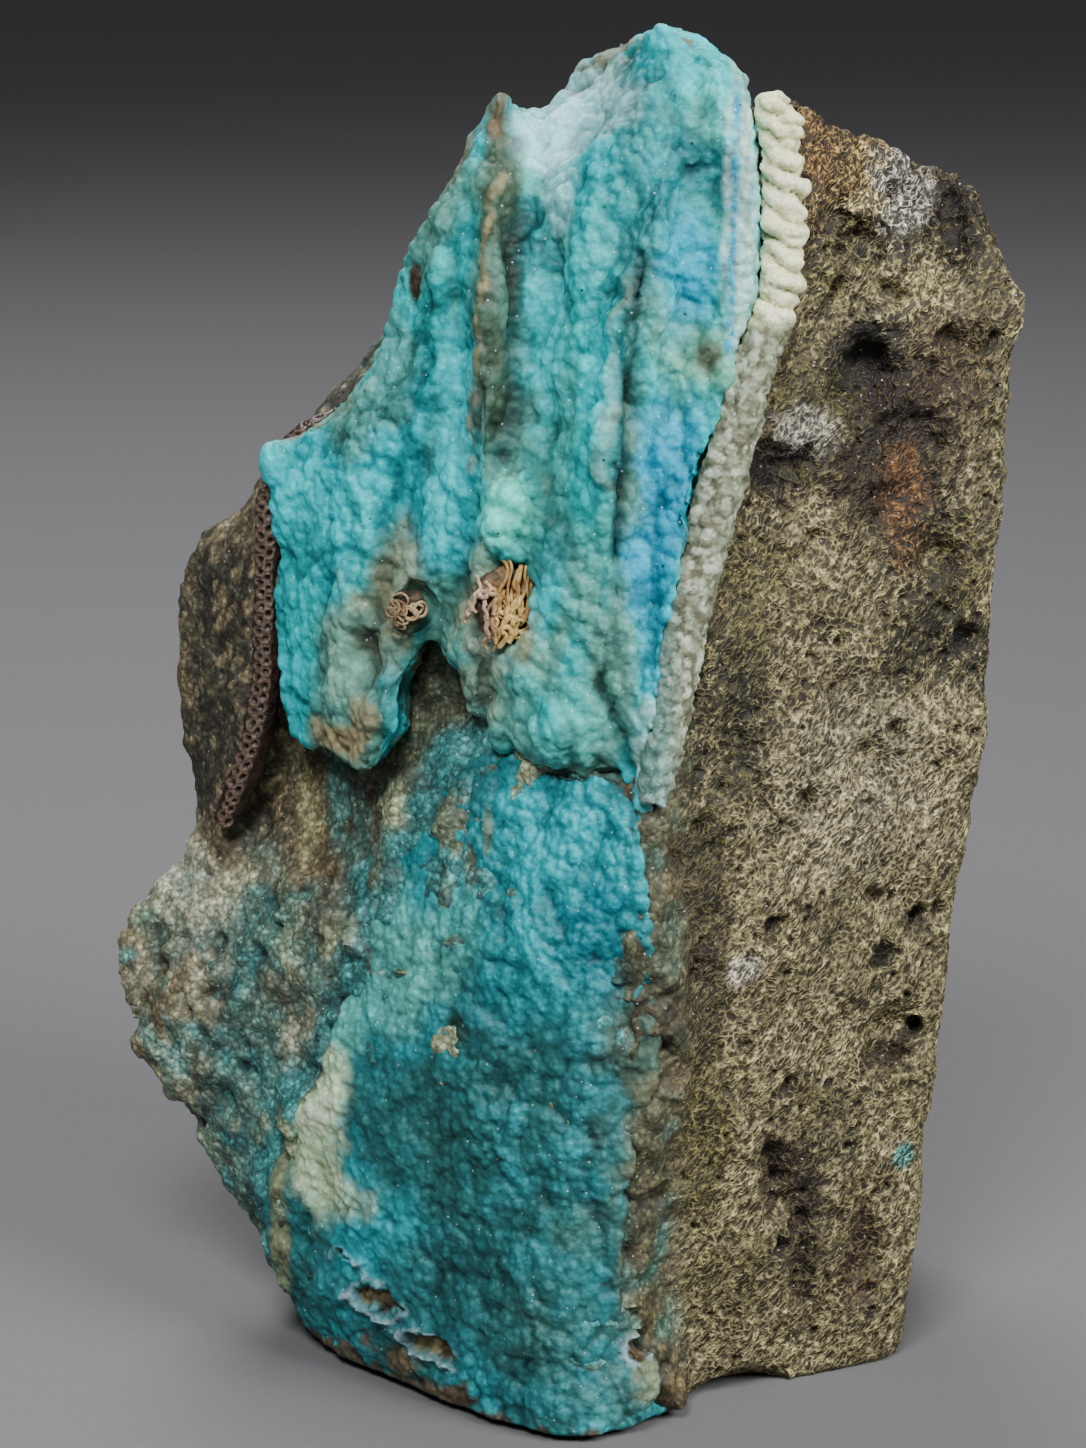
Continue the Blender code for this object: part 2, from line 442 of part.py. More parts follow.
def build():
    clear_scene()
    specimen = bpy.data.collections.new("botryoidal_hemimorphite")
    helpers = bpy.data.collections.new("cutters")
    bpy.context.scene.collection.children.link(specimen)
    bpy.context.scene.collection.children.link(helpers)

    rock_finish = material("rock", (0.20, 0.17, 0.10), 0.85)
    blue_finish = material("blue_hemimorphite", (0.09, 0.40, 0.44), 0.35)
    teal_finish = material("teal_hemimorphite", (0.05, 0.28, 0.29), 0.35)
    pale_finish = material("pale_rind", (0.52, 0.54, 0.42), 0.6)
    vein_finish = material("brown_vein", (0.07, 0.04, 0.03), 0.5)
    tan_finish = material("tan_boxwork", (0.45, 0.31, 0.13), 0.7)
    brown_finish = material("brown_boxwork", (0.14, 0.08, 0.05), 0.6)

    rock = make_rock(specimen, rock_finish)
    for name, (centre, halves) in ROCK_HOLLOWS.items():
        hollow = make_ellipsoid(name, centre, halves, helpers)
        hide(hollow)
        boolean(rock, hollow, "DIFFERENCE")
    fissure = make_bar("fissure", FISSURE_LINE, helpers)
    middle = Matrix.Translation((0, -FISSURE_LINE[0][1] * MM, 0))
    fissure.data.transform(middle.inverted() @ Matrix.Diagonal((1, FISSURE_DEPTH, 1, 1)) @ middle)
    hide(fissure)
    boolean(rock, fissure, "DIFFERENCE")
    rock_room = grown(rock, helpers)

    rind = make_bar("pale_rind", RIND_LINE, specimen, pale_finish)
    rope = along([p[:3] for p in RIND_LINE if p[2] > ROPE_FOOT], RIND_BEADS)
    for i, place in enumerate(rope):
        radius = BEAD_RADIUS * (1 + BEAD_CHANGE[0] * math.sin(BEAD_CHANGE[1] * i))
        side = BEAD_SWAY[0] * math.sin(BEAD_SWAY[1] * i)
        centre = (place.x + BEAD_OFFSET[0] + side, place.y + BEAD_OFFSET[1], place.z)
        halves = (radius, radius, radius * BEAD_HEIGHT_SHARE)
        bead = make_ellipsoid(f"bead_{i}", centre, halves, helpers, detail=1)
        hide(bead)
        boolean(rind, bead, "UNION")
    boolean(rind, rock_room, "DIFFERENCE")
    rind_room = grown(rind, helpers)

    vein = make_bar("cellular_vein", VEIN_LINE, specimen, vein_finish)
    vein_room = grown(vein, helpers)
    boolean(vein, rock_room, "DIFFERENCE")

    curtain = make_crust("blue_curtain", CURTAIN_LINES, CURTAIN_ROWS, CURTAIN_FOOT_THICKNESS,
                         CURTAIN_SWELLS, specimen, blue_finish)
    curtain_room = grown(curtain, helpers)
    lobes_room = []
    for name, (centre, halves) in CURTAIN_LOBES.items():
        lobe = make_ellipsoid(name, centre, halves, helpers)
        hide(lobe)
        boolean(curtain, lobe, "UNION")
        if name in LOBES_OVER_APRON:
            lobes_room.append(grown(lobe, helpers))
    boolean(curtain, rock_room, "DIFFERENCE")
    boolean(curtain, rind_room, "DIFFERENCE")
    boolean(curtain, vein_room, "DIFFERENCE")

    apron = make_crust("teal_apron", APRON_LINES, APRON_ROWS, APRON_FOOT_THICKNESS,
                       APRON_SWELLS, specimen, teal_finish)
    lobe = make_ellipsoid("foot_lobe", *FOOT_LOBE, helpers)
    hide(lobe)
    boolean(apron, lobe, "UNION")
    boolean(apron, rock_room, "DIFFERENCE")
    for room in (curtain_room, *lobes_room, rind_room):
        boolean(apron, room, "DIFFERENCE")

    nests = (("tan_boxwork", TAN_NEST, tan_finish), ("brown_boxwork", BROWN_NEST, brown_finish))
    for name, nest, finish in nests:
        clump = make_ellipsoid(name, *nest, specimen, finish, wobble=NEST_WOBBLE)
        boolean(curtain, grown(clump, helpers), "DIFFERENCE")


build()
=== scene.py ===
import math
from itertools import product

import bpy
import numpy as np
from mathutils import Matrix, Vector
from mathutils.kdtree import KDTree


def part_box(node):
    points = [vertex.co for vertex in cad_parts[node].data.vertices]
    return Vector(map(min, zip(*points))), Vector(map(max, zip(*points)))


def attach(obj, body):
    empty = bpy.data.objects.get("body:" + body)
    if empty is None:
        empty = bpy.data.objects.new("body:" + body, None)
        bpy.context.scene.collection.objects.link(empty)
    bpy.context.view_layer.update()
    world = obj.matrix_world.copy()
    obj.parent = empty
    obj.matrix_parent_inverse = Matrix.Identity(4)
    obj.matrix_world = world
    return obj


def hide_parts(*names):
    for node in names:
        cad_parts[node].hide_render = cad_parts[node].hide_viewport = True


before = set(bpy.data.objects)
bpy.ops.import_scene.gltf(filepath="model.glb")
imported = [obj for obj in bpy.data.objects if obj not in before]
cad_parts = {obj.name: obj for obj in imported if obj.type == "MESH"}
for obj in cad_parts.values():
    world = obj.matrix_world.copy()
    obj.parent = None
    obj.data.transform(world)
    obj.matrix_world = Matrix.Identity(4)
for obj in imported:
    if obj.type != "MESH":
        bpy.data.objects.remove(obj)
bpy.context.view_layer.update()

mm = 0.001                       # one millimetre in metres
scene = bpy.context.scene


# Working helpers: selection, modifiers, reading and writing points

def deselectAll():
    if bpy.context.mode != "OBJECT":
        bpy.ops.object.mode_set(mode="OBJECT")
    bpy.ops.object.select_all(action="DESELECT")


def only(piece):
    deselectAll()
    piece.select_set(True)
    bpy.context.view_layer.objects.active = piece


def applyModifier(piece, kind, **settings):
    only(piece)
    modifier = piece.modifiers.new(kind.title(), kind)
    for key, value in settings.items():
        setattr(modifier, key, value)
    bpy.ops.object.modifier_apply(modifier=modifier.name)


def copyNode(node, name):
    piece = bpy.data.objects.new(name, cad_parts[node].data.copy())
    piece.data.materials.clear()
    scene.collection.objects.link(piece)
    only(piece)
    bpy.ops.object.mode_set(mode="EDIT")
    bpy.ops.mesh.select_all(action="SELECT")
    bpy.ops.mesh.remove_doubles(threshold=0.00001)
    bpy.ops.object.mode_set(mode="OBJECT")
    return piece


def remeshed(node, name, voxel, rounding):
    piece = copyNode(node, name)
    applyModifier(piece, "REMESH", mode="VOXEL", voxel_size=voxel * mm)
    applyModifier(piece, "SMOOTH", factor=0.5, iterations=rounding)
    return piece


def readPoints(piece):
    mesh = piece.data
    points = np.empty(len(mesh.vertices) * 3, dtype=np.float32)
    mesh.vertices.foreach_get("co", points)
    normals = np.empty(len(mesh.vertices) * 3, dtype=np.float32)
    mesh.vertex_normals.foreach_get("vector", normals)
    return points.reshape(-1, 3).astype(float) / mm, normals.reshape(-1, 3).astype(float)


def writePoints(piece, points):
    piece.data.vertices.foreach_set("co", (points * mm).astype(np.float32).ravel())
    piece.data.update()


def refine(piece, wanted):
    mesh = piece.data
    count = len(mesh.polygons)
    centres, normals = np.empty(count * 3, dtype=np.float32), np.empty(count * 3, dtype=np.float32)
    mesh.polygons.foreach_get("center", centres)
    mesh.polygons.foreach_get("normal", normals)
    chosen = wanted(centres.reshape(-1, 3) / mm, normals.reshape(-1, 3))
    only(piece)
    bpy.ops.object.mode_set(mode="EDIT")
    bpy.ops.mesh.select_all(action="DESELECT")
    bpy.ops.mesh.select_mode(type="FACE")
    bpy.ops.object.mode_set(mode="OBJECT")
    mesh.polygons.foreach_set("select", chosen)
    bpy.ops.object.mode_set(mode="EDIT")
    bpy.ops.mesh.subdivide(number_cuts=1, smoothness=0, ngon=False)
    bpy.ops.object.mode_set(mode="OBJECT")


# Patterns in space

# a fixed random number from 0 to 1 for each whole-numbered cell
def chance(cell, seed):
    mask = 0x7FFFFFFF
    mixed = (cell[:, 0] * 73856093) ^ (cell[:, 1] * 19349663) ^ (cell[:, 2] * 83492791) ^ (seed * 40503001)
    for shift, factor in ((13, 1274126177), (15, 668265263)):
        mixed = (mixed ^ (mixed >> shift)) & mask
        mixed = (mixed * factor) & mask
    return ((mixed >> 7) & 0xFFFF) / 65535.0


# noise from 0 to 1 with lumps of one size
def smoothNoise(points, size, seed):
    scaled = points / size
    base = np.floor(scaled).astype(np.int64)
    part = scaled - base
    part = part * part * (3 - 2 * part)
    total = np.zeros(len(points))
    for dx, dy, dz in product((0, 1), repeat=3):
        weight = (np.where(dx, part[:, 0], 1 - part[:, 0]) * np.where(dy, part[:, 1], 1 - part[:, 1])
                  * np.where(dz, part[:, 2], 1 - part[:, 2]))
        total += weight * chance(base + (dx, dy, dz), seed)
    return total


# the same with finer and fainter layers on top
def layeredNoise(points, size, seed, layers=3):
    total, share, shares = np.zeros(len(points)), 1.0, 0.0
    for layer in range(layers):
        total += share * smoothNoise(points, size / 2 ** layer, seed + layer)
        shares += share
        share *= 0.5
    return total / shares


# the places themselves pushed about, so that what is made on them wanders
def warped(points, size, amount, seed):
    shift = np.stack([smoothNoise(points, size, seed + k) - 0.5 for k in range(3)], axis=1)
    return points + shift * amount * 2


# scattered spots: how far off the nearest one is, and its own number
def cells(points, size, seed):
    scaled = points / size
    base = np.floor(scaled).astype(np.int64)
    nearest, owner = np.full(len(points), 9.0), np.zeros(len(points))
    for step in product((-1, 0, 1), repeat=3):
        cell = base + step
        place = [cell[:, k] + 0.15 + 0.7 * chance(cell, seed + 7 * k) for k in range(3)]
        distance = np.sqrt(sum((scaled[:, k] - place[k]) ** 2 for k in range(3)))
        closer = distance < nearest
        owner = np.where(closer, chance(cell, seed + 31), owner)
        nearest = np.where(closer, distance, nearest)
    return nearest, owner


# round beads of mixed sizes: height in mm, each bead's own number, and how near a crease is
def beads(points, size, seed, smallest=0.42, largest=0.82, stretch=1.0):
    scaled = points / (size, size, size * stretch)
    base = np.floor(scaled).astype(np.int64)
    best, second, owner = np.zeros(len(points)), np.zeros(len(points)), np.zeros(len(points))
    for step in product((-1, 0, 1), repeat=3):
        cell = base + step
        place = [cell[:, k] + 0.1 + 0.8 * chance(cell, seed + 7 * k) for k in range(3)]
        away = sum((scaled[:, k] - place[k]) ** 2 for k in range(3))
        radius = smallest + (largest - smallest) * chance(cell, seed + 57)
        height = np.sqrt(np.clip(radius ** 2 - away, 0, None))
        higher = height > best
        second = np.where(higher, best, np.maximum(second, height))
        owner = np.where(higher, chance(cell, seed + 31), owner)
        best = np.maximum(best, height)
    return best * size, owner, 1 - step01(best - second, 0.0, 0.16)


# a soft pull of the points round a place, as with a grab brush: (place, reach, move)
def grab(points, pulls):
    moved = points.copy()
    for place, reach, move in pulls:
        weight = np.exp(-(np.linalg.norm((points - place) / reach, axis=1) ** 2))
        moved += weight[:, None] * np.array(move)
    return moved


# 0 below low, 1 above high, eased between
def step01(value, low, high):
    part = np.clip((value - low) / (high - low), 0, 1)
    return part * part * (3 - 2 * part)


def paint(red, green, blue):
    return np.array([red, green, blue], dtype=float)


def blend(under, over, weight):
    return under + (over - under) * weight[:, None]


# soft-edged elliptical patches of colour: (x, z, half width, half height, colour, strength)
def paintPatches(tint, points, patches, palette, wobble, seed, mask=1.0):
    edge = (layeredNoise(points, wobble, seed, 3) - 0.5) * 1.1
    for x, z, halfWidth, halfHeight, name, strength in patches:
        away = np.sqrt(((points[:, 0] - x) / halfWidth) ** 2 + ((points[:, 2] - z) / halfHeight) ** 2)
        weight = (1 - step01(away + edge, 0.55, 1.35)) * strength * mask
        tint = blend(tint, palette[name], weight)
    return tint


# how far a point is from a line drawn on the front
def lineDistance(points, line):
    flat = points[:, (0, 2)]
    best = np.full(len(points), 99.0)
    for start, end in zip(line, line[1:]):
        start, run = np.array(start, dtype=float), np.array(end, dtype=float) - start
        share = np.clip(((flat - start) @ run) / (run @ run), 0, 1)
        best = np.minimum(best, np.linalg.norm(flat - start - share[:, None] * run, axis=1))
    return best


# how far the wanted points are from another piece; the rest count as far off
def distanceTo(piece, points, wanted):
    places = readPoints(piece)[0][::4] * mm
    tree = KDTree(len(places))
    for index, place in enumerate(places):
        tree.insert(place, index)
    tree.balance()
    found = np.full(len(points), 99.0)
    for index in np.flatnonzero(wanted):
        found[index] = tree.find(points[index] * mm)[2] / mm
    return found


# the middle of a tall thin piece, at each point's height
def middleAt(z, values):
    levels = np.linspace(z.min(), z.max(), 60)
    return np.interp(z, levels, [values[np.abs(z - level) < 1.5].mean() for level in levels])


def writeColour(piece, name, values):
    attribute = piece.data.attributes.new(name, "FLOAT_COLOR", "POINT")
    full = np.ones((len(values), 4), dtype=np.float32)
    full[:, :3] = np.clip(values, 0, 1)
    attribute.data.foreach_set("color", full.ravel())


def writeValue(piece, name, values):
    attribute = piece.data.attributes.new(name, "FLOAT", "POINT")
    attribute.data.foreach_set("value", np.clip(values, 0, 1).astype(np.float32))


# Material helpers

def newMaterial(name):
    material = bpy.data.materials.new(name)
    material.use_nodes = True
    material.node_tree.nodes.clear()
    return material, material.node_tree


def node(tree, kind, inputs=(), **settings):
    made = tree.nodes.new("ShaderNode" + kind)
    for key, value in settings.items():
        setattr(made, key, value)
    for key, value in dict(inputs).items():
        if isinstance(value, bpy.types.NodeSocket):
            tree.links.new(value, made.inputs[key])
        else:
            made.inputs[key].default_value = value
    return made


def ramp(tree, value, stops):
    made = node(tree, "ValToRGB", {"Fac": value})
    elements = made.color_ramp.elements
    while len(elements) < len(stops):
        elements.new(0.5)
    for element, (place, shade) in zip(elements, stops):
        element.position = place
        element.color = (shade, shade, shade, 1) if isinstance(shade, float) else (*shade, 1)
    return made.outputs["Color"]


def mixColour(tree, how, factor, under, over):
    made = node(tree, "Mix", data_type="RGBA", blend_type=how)
    for key, value in ((0, factor), (6, under), (7, over)):
        if isinstance(value, bpy.types.NodeSocket):
            tree.links.new(value, made.inputs[key])
        else:
            made.inputs[key].default_value = value
    return made.outputs[2]


def crustMaterial(name, look):
    material, tree = newMaterial(name)
    place = node(tree, "TexCoord").outputs["Object"]
    tint = node(tree, "Attribute", attribute_name="tint").outputs["Color"]
    grain = node(tree, "TexNoise",
        {"Vector": place, "Scale": 2600.0, "Detail": 3.0, "Roughness": 0.6}).outputs["Fac"]
    shade = mixColour(tree, "MULTIPLY", 1.0, tint, ramp(tree, grain, [(0.3, look["grainDark"]), (0.7, 1.08)]))
    # beads too small for the mesh: painted light on their tops and painted shade between them
    pebbles = node(tree, "TexVoronoi", {"Vector": place, "Scale": look["pebbles"]}).outputs["Distance"]
    shade = mixColour(tree, "MULTIPLY", 1.0, shade,
        ramp(tree, pebbles, [(0.1, 1.08), (0.62, look["pebbleShade"])]))
    speckCells = node(tree, "TexVoronoi", {"Vector": place, "Scale": 300.0, "Randomness": 1.0})
    speck = ramp(tree, speckCells.outputs["Distance"], [(0.03, 1.0), (0.055, 0.0)])
    shade = mixColour(tree, "MIX",
        node(tree, "Math", {0: speck, 1: look["specks"]}, operation="MULTIPLY").outputs[0],
                      shade, (*look["speckColour"], 1))
    # painted glints: tiny pale highlights mixed into the colour
    glintCells = node(tree, "TexVoronoi", {"Vector": place, "Scale": 780.0, "Randomness": 1.0})
    glint = ramp(tree, glintCells.outputs["Distance"], [(0.05, 1.0), (0.085, 0.0)])
    shade = mixColour(tree, "MIX",
        node(tree, "Math", {0: glint, 1: look["glints"]}, operation="MULTIPLY").outputs[0],
                      shade, (0.85, 0.95, 0.93, 1))
    bump = node(tree, "Bump", {"Height": pebbles, "Strength": look["bump"], "Distance": 0.00022}, invert=True)
    bump = node(tree, "Bump", {"Height": grain, "Strength": look["bump"], "Distance": 0.00007,
        "Normal": bump.outputs[0]})
    rough = ramp(tree, grain, [(0.25, look["roughLow"]), (0.75, look["roughHigh"])])
    shader = node(tree, "BsdfPrincipled", {
        "Base Color": shade, "Roughness": rough, "Normal": bump.outputs[0], "IOR": 1.5,
        "Specular IOR Level": look["gloss"],
        "Subsurface Weight": look["depth"], "Subsurface Radius": look["reach"], "Subsurface Scale": 0.0009})
    node(tree, "OutputMaterial", {"Surface": shader.outputs[0]})
    return material


def finishPiece(piece, material, replaced):
    piece.data.materials.clear()
    piece.data.materials.append(material)
    only(piece)
    bpy.ops.object.shade_smooth_by_angle(angle=math.radians(70))
    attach(piece, "root")
    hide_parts(*replaced)
    print(piece.name, len(piece.data.polygons), "faces")


# Blue curtain: the botryoidal crust

curtainLook = {
    "voxel": 0.52, "rounding": 2,
    # size, stretch down, share of the bead's height, seed
    "lumps": ((5.6, 2.4, 0.15, 11), (2.6, 1.4, 0.26, 12), (1.25, 1.1, 0.42, 13)),
    "lift": 1.6,
    # grab brush strokes that sharpen the outline: (place, reach, move)
    "pulls": (((1.0, 8, 122.8), 4.5, (0, 0, -2.2)), ((4.6, 3.5, 125.0), 2.4, (-1.0, 0, 1.5)),
        ((-12.2, -5, 108), 5.0, (-0.9, 0, 0.5)), ((11.0, -9, 129.5), 2.6, (-0.6, 0, 1.0)),
        ((17.5, -9, 127.5), 3.0, (0.6, 0, -0.9)),
              ((-3.8, -3, 121.8), 2.3, (-0.5, -0.5, 1.6)), ((-27, -13, 92.5), 2.2, (-0.7, 0, 0.8))),
    "base": paint(0.014, 0.285, 0.290),
    "palette": {
        "shelfPaleAndLit": paint(0.30, 0.60, 0.62), "cyan": paint(0.005, 0.46, 0.53),
        "paleTurquoise": paint(0.006, 0.43, 0.43),
        "bright": paint(0.03, 0.66, 0.70), "deepTurquoise": paint(0.006, 0.215, 0.245),
        "greyGreen": paint(0.105, 0.260, 0.200), "darkGreen": paint(0.030, 0.088, 0.076),
        "paintedMintHighlight": paint(0.07, 0.70, 0.56),
        "brown": paint(0.034, 0.056, 0.034), "knob": paint(0.090, 0.052, 0.020), "tan": paint(0.25, 0.20, 0.10),
        "beige": paint(0.26, 0.28, 0.165), "pool": paint(0.0, 0.26, 0.37), "brightPool": paint(0.0, 0.27, 0.43),
        "teal": paint(0.011, 0.068, 0.073), "olive": paint(0.071, 0.101, 0.058),
        "stick": paint(0.037, 0.024, 0.013),
        "paleGreen": paint(0.12, 0.38, 0.26), "rim": paint(0.32, 0.50, 0.455),
        "blueBand": paint(0.0, 0.28, 0.44),
        "paintedTopSheen": paint(0.22, 0.78, 0.74), "greyPale": paint(0.20, 0.42, 0.31),
        "eye": paint(0.097, 0.093, 0.053)},
    "patches": [
        (2.5, 97.6, 3.8, 13, "paleTurquoise", 0.5), (-0.3, 106, 2.8, 11, "cyan", 0.45),
        (5.2, 115.4, 3.2, 10, "paleTurquoise", 0.35), (8.5, 119, 5.5, 9, "deepTurquoise", 0.75),
        (13.5, 115.0, 3.2, 8.5, "deepTurquoise", 0.7), (5.2, 110, 2.6, 6, "deepTurquoise", 0.5),
        (15.1, 124, 1.8, 3.4, "paleGreen", 0.4),
        (-8.2, 96.4, 2.8, 8, "cyan", 0.8), (-9.6, 85.4, 3, 6.2, "cyan", 0.9),
        (-10.9, 105.3, 2.5, 8, "paleTurquoise", 0.5),
        (-6.7, 87.9, 1.8, 5.2, "cyan", 0.8), (-11.4, 111.4, 2.5, 5.2, "greyGreen", 0.7),
        (-8.3, 116, 2.4, 4, "greyGreen", 0.6), (-22.1, 87.4, 3, 6.2, "cyan", 0.65),
        (-18.1, 93.8, 3, 3.8, "greyGreen", 0.7),
        (-14.2, 98.5, 2.4, 5, "greyGreen", 0.6), (-23.4, 75.3, 2, 8.2, "paleTurquoise", 0.6),
        (-19.7, 80.4, 1.9, 7.2, "cyan", 0.7), (-18.3, 72.1, 2.6, 6.2, "greyPale", 0.85),
        (-13.9, 79.3, 2.5, 5.2, "beige", 0.85), (-15.3, 73.7, 3.1, 4.2, "beige", 0.65),
        (-15.8, 67.6, 2.6, 3.9, "darkGreen", 0.6),
        (-19.3, 62.6, 2.8, 1.9, "tan", 0.9), (-17.0, 65.5, 1.2, 2.2, "tan", 0.7),
        (-4.2, 77.3, 4.3, 4.6, "beige", 0.9), (-5.4, 74.6, 2.0, 2.2, "rim", 0.8),
        (-5.9, 71.1, 2.1, 3.7, "beige", 0.55),
        (-5.4, 81.6, 1.6, 3.6, "beige", 0.5),
        # the bulge: painted highlight on its lit left side and painted shade on its right
        (-3, 87.3, 2.9, 3.6, "paintedMintHighlight", 0.9), (0.4, 84.6, 3.8, 3.8, "darkGreen", 0.6),
        (-4.2, 115.8, 1.6, 5, "brown", 0.5), (-4.7, 108, 1.7, 6.5, "brown", 0.5),
        (-5, 100, 1.9, 6.5, "brown", 0.55),
        (-4.7, 95.6, 2.1, 3.4, "brown", 0.5), (-9.3, 88, 1.7, 7.5, "bright", 0.7),
        (-21.8, 84, 1.8, 6, "bright", 0.5),
        (-0.3, 104, 1.5, 8, "bright", 0.5), (-8.8, 98, 1.4, 5, "bright", 0.5),
        # the dark teal strips are painted shade in the valley beside the brown rib
        (-2.7, 110, 0.8, 9, "teal", 0.55), (-2.8, 99, 0.8, 8, "teal", 0.5),
        # the top shelf: pale crust with painted light on its up-facing top
        (0.2, 120.4, 3.4, 3.4, "shelfPaleAndLit", 0.95), (4.4, 123.6, 3.6, 3.2, "shelfPaleAndLit", 0.9),
        (1.3, 115.9, 1.5, 4.6, "shelfPaleAndLit", 0.55),
        (-4.2, 122.4, 1.5, 3.2, "knob", 0.95), (-3.2, 116.4, 1.2, 1.5, "knob", 0.55),
        # the teal spots here and below are painted shade in the crevice right of the lip
        (7.8, 96, 1.2, 12, "olive", 0.45), (8.5, 106, 0.55, 5.5, "teal", 0.75),
        (7.4, 97, 0.55, 6, "teal", 0.85),
        (6.9, 88.5, 0.6, 5, "teal", 0.8),
        (12.6, 103, 3, 4.4, "greyPale", 0.5), (13.3, 109, 2.9, 5, "pool", 0.9),
        (13.0, 98.6, 2, 3.2, "paleGreen", 0.5),
        (11.5, 91.6, 2.8, 6.3, "brightPool", 0.95), (9.7, 83.5, 2.3, 6.3, "brightPool", 0.9),
        (10.2, 76.4, 1.9, 5.2, "pool", 0.8), (13.6, 96, 1.2, 3.6, "pool", 0.6),
        (15.1, 101.7, 2.6, 2.9, "paleGreen", 0.75), (15.1, 101.7, 1.4, 1.7, "eye", 0.85),
        (1.6, 67.8, 4, 3.5, "paleTurquoise", 0.4), (2.4, 67.2, 1.2, 1.4, "darkGreen", 0.5),
        (10.2, 65.8, 1.9, 5, "rim", 0.8),
        (17.9, 114, 1.5, 13.5, "rim", 0.9), (-12.3, 106.9, 0.45, 1.7, "stick", 1.0)],
    # grooves where one drape of the crust meets the next: (x, z) points, half width, depth
    "grooves": [
        ([(3.6, 76), (4.9, 72), (6.4, 68), (8.3, 64), (9.8, 60)], 0.8, 0.7),
        ([(8.9, 110), (8.3, 103), (7.5, 96), (7.2, 90), (6.6, 84)], 0.9, 1.0),
        ([(-2.2, 114), (-2.4, 106), (-2.6, 99), (-3.2, 92)], 1.1, 0.9),
        ([(-6.4, 93), (-6.8, 86), (-7.7, 80), (-8.6, 76)], 0.9, 0.6),
        ([(-13.5, 90), (-15, 84), (-16, 78), (-17.5, 72)], 1.0, 0.6),
        ([(-10.6, 111), (-10.6, 104), (-10.2, 97), (-11, 90)], 1.0, 0.5)],
    # ribs that stand proud: (x, z) points, half width, rise
    "ribs": [
        ([(-3.4, 118), (-4.9, 112), (-5.4, 105), (-6.2, 98), (-6.4, 92)], 1.3, -0.6),
        ([(6.9, 109), (6.6, 103), (6.0, 97), (5.6, 90)], 0.8, 0.6),
        ([(-8.0, 92), (-8.4, 86), (-9.6, 80)], 1.0, 0.5)],
    # long narrow markings: (x, z) points, half width, colour, strength
    "streaks": [
        ([(-3.2, 119), (-3.9, 110), (-4.4, 103), (-4.6, 95)], 1.9, "brown", 0.95),
        # the thin tan line is a painted highlight down the rib's lit left edge
        ([(-3.7, 117), (-5.2, 111), (-5.8, 104), (-6.5, 98), (-6.4, 90)], 0.35, "tan", 0.6),
        # the teal streak is painted shade down the crevice right of the lip
        ([(8.6, 109), (8.0, 102), (7.2, 96), (6.9, 90), (6.4, 84)], 0.7, "teal", 0.8),
        ([(7.3, 109), (6.8, 102), (6.2, 96), (5.9, 90)], 0.35, "tan", 0.35)],
    "finish": {
        "grainDark": 0.8, "pebbles": 1350.0, "pebbleShade": 0.88, "specks": 0.85,
        "speckColour": (0.01, 0.015, 0.01),
        "glints": 0.6, "bump": 0.55, "roughLow": 0.36, "roughHigh": 0.68, "gloss": 0.22, "depth": 0.35,
        "reach": (0.3, 0.9, 1.0)},
}


def beadRelief(points, lumps, seedShift=0):
    moved = warped(points, 5.0, 0.5, 5 + seedShift)
    relief, value, crease = np.zeros(len(points)), np.zeros(len(points)), np.zeros(len(points))
    total = sum(size * share for size, stretch, share, seed in lumps)
    for size, stretch, share, seed in lumps:
        height, owner, seam = beads(moved, size, seed + seedShift, stretch=stretch)
        relief += (height - 0.45 * size) * share
        crease += seam * size * share / total
        value += (owner - 0.5) * size * share / total
    return relief, value, crease


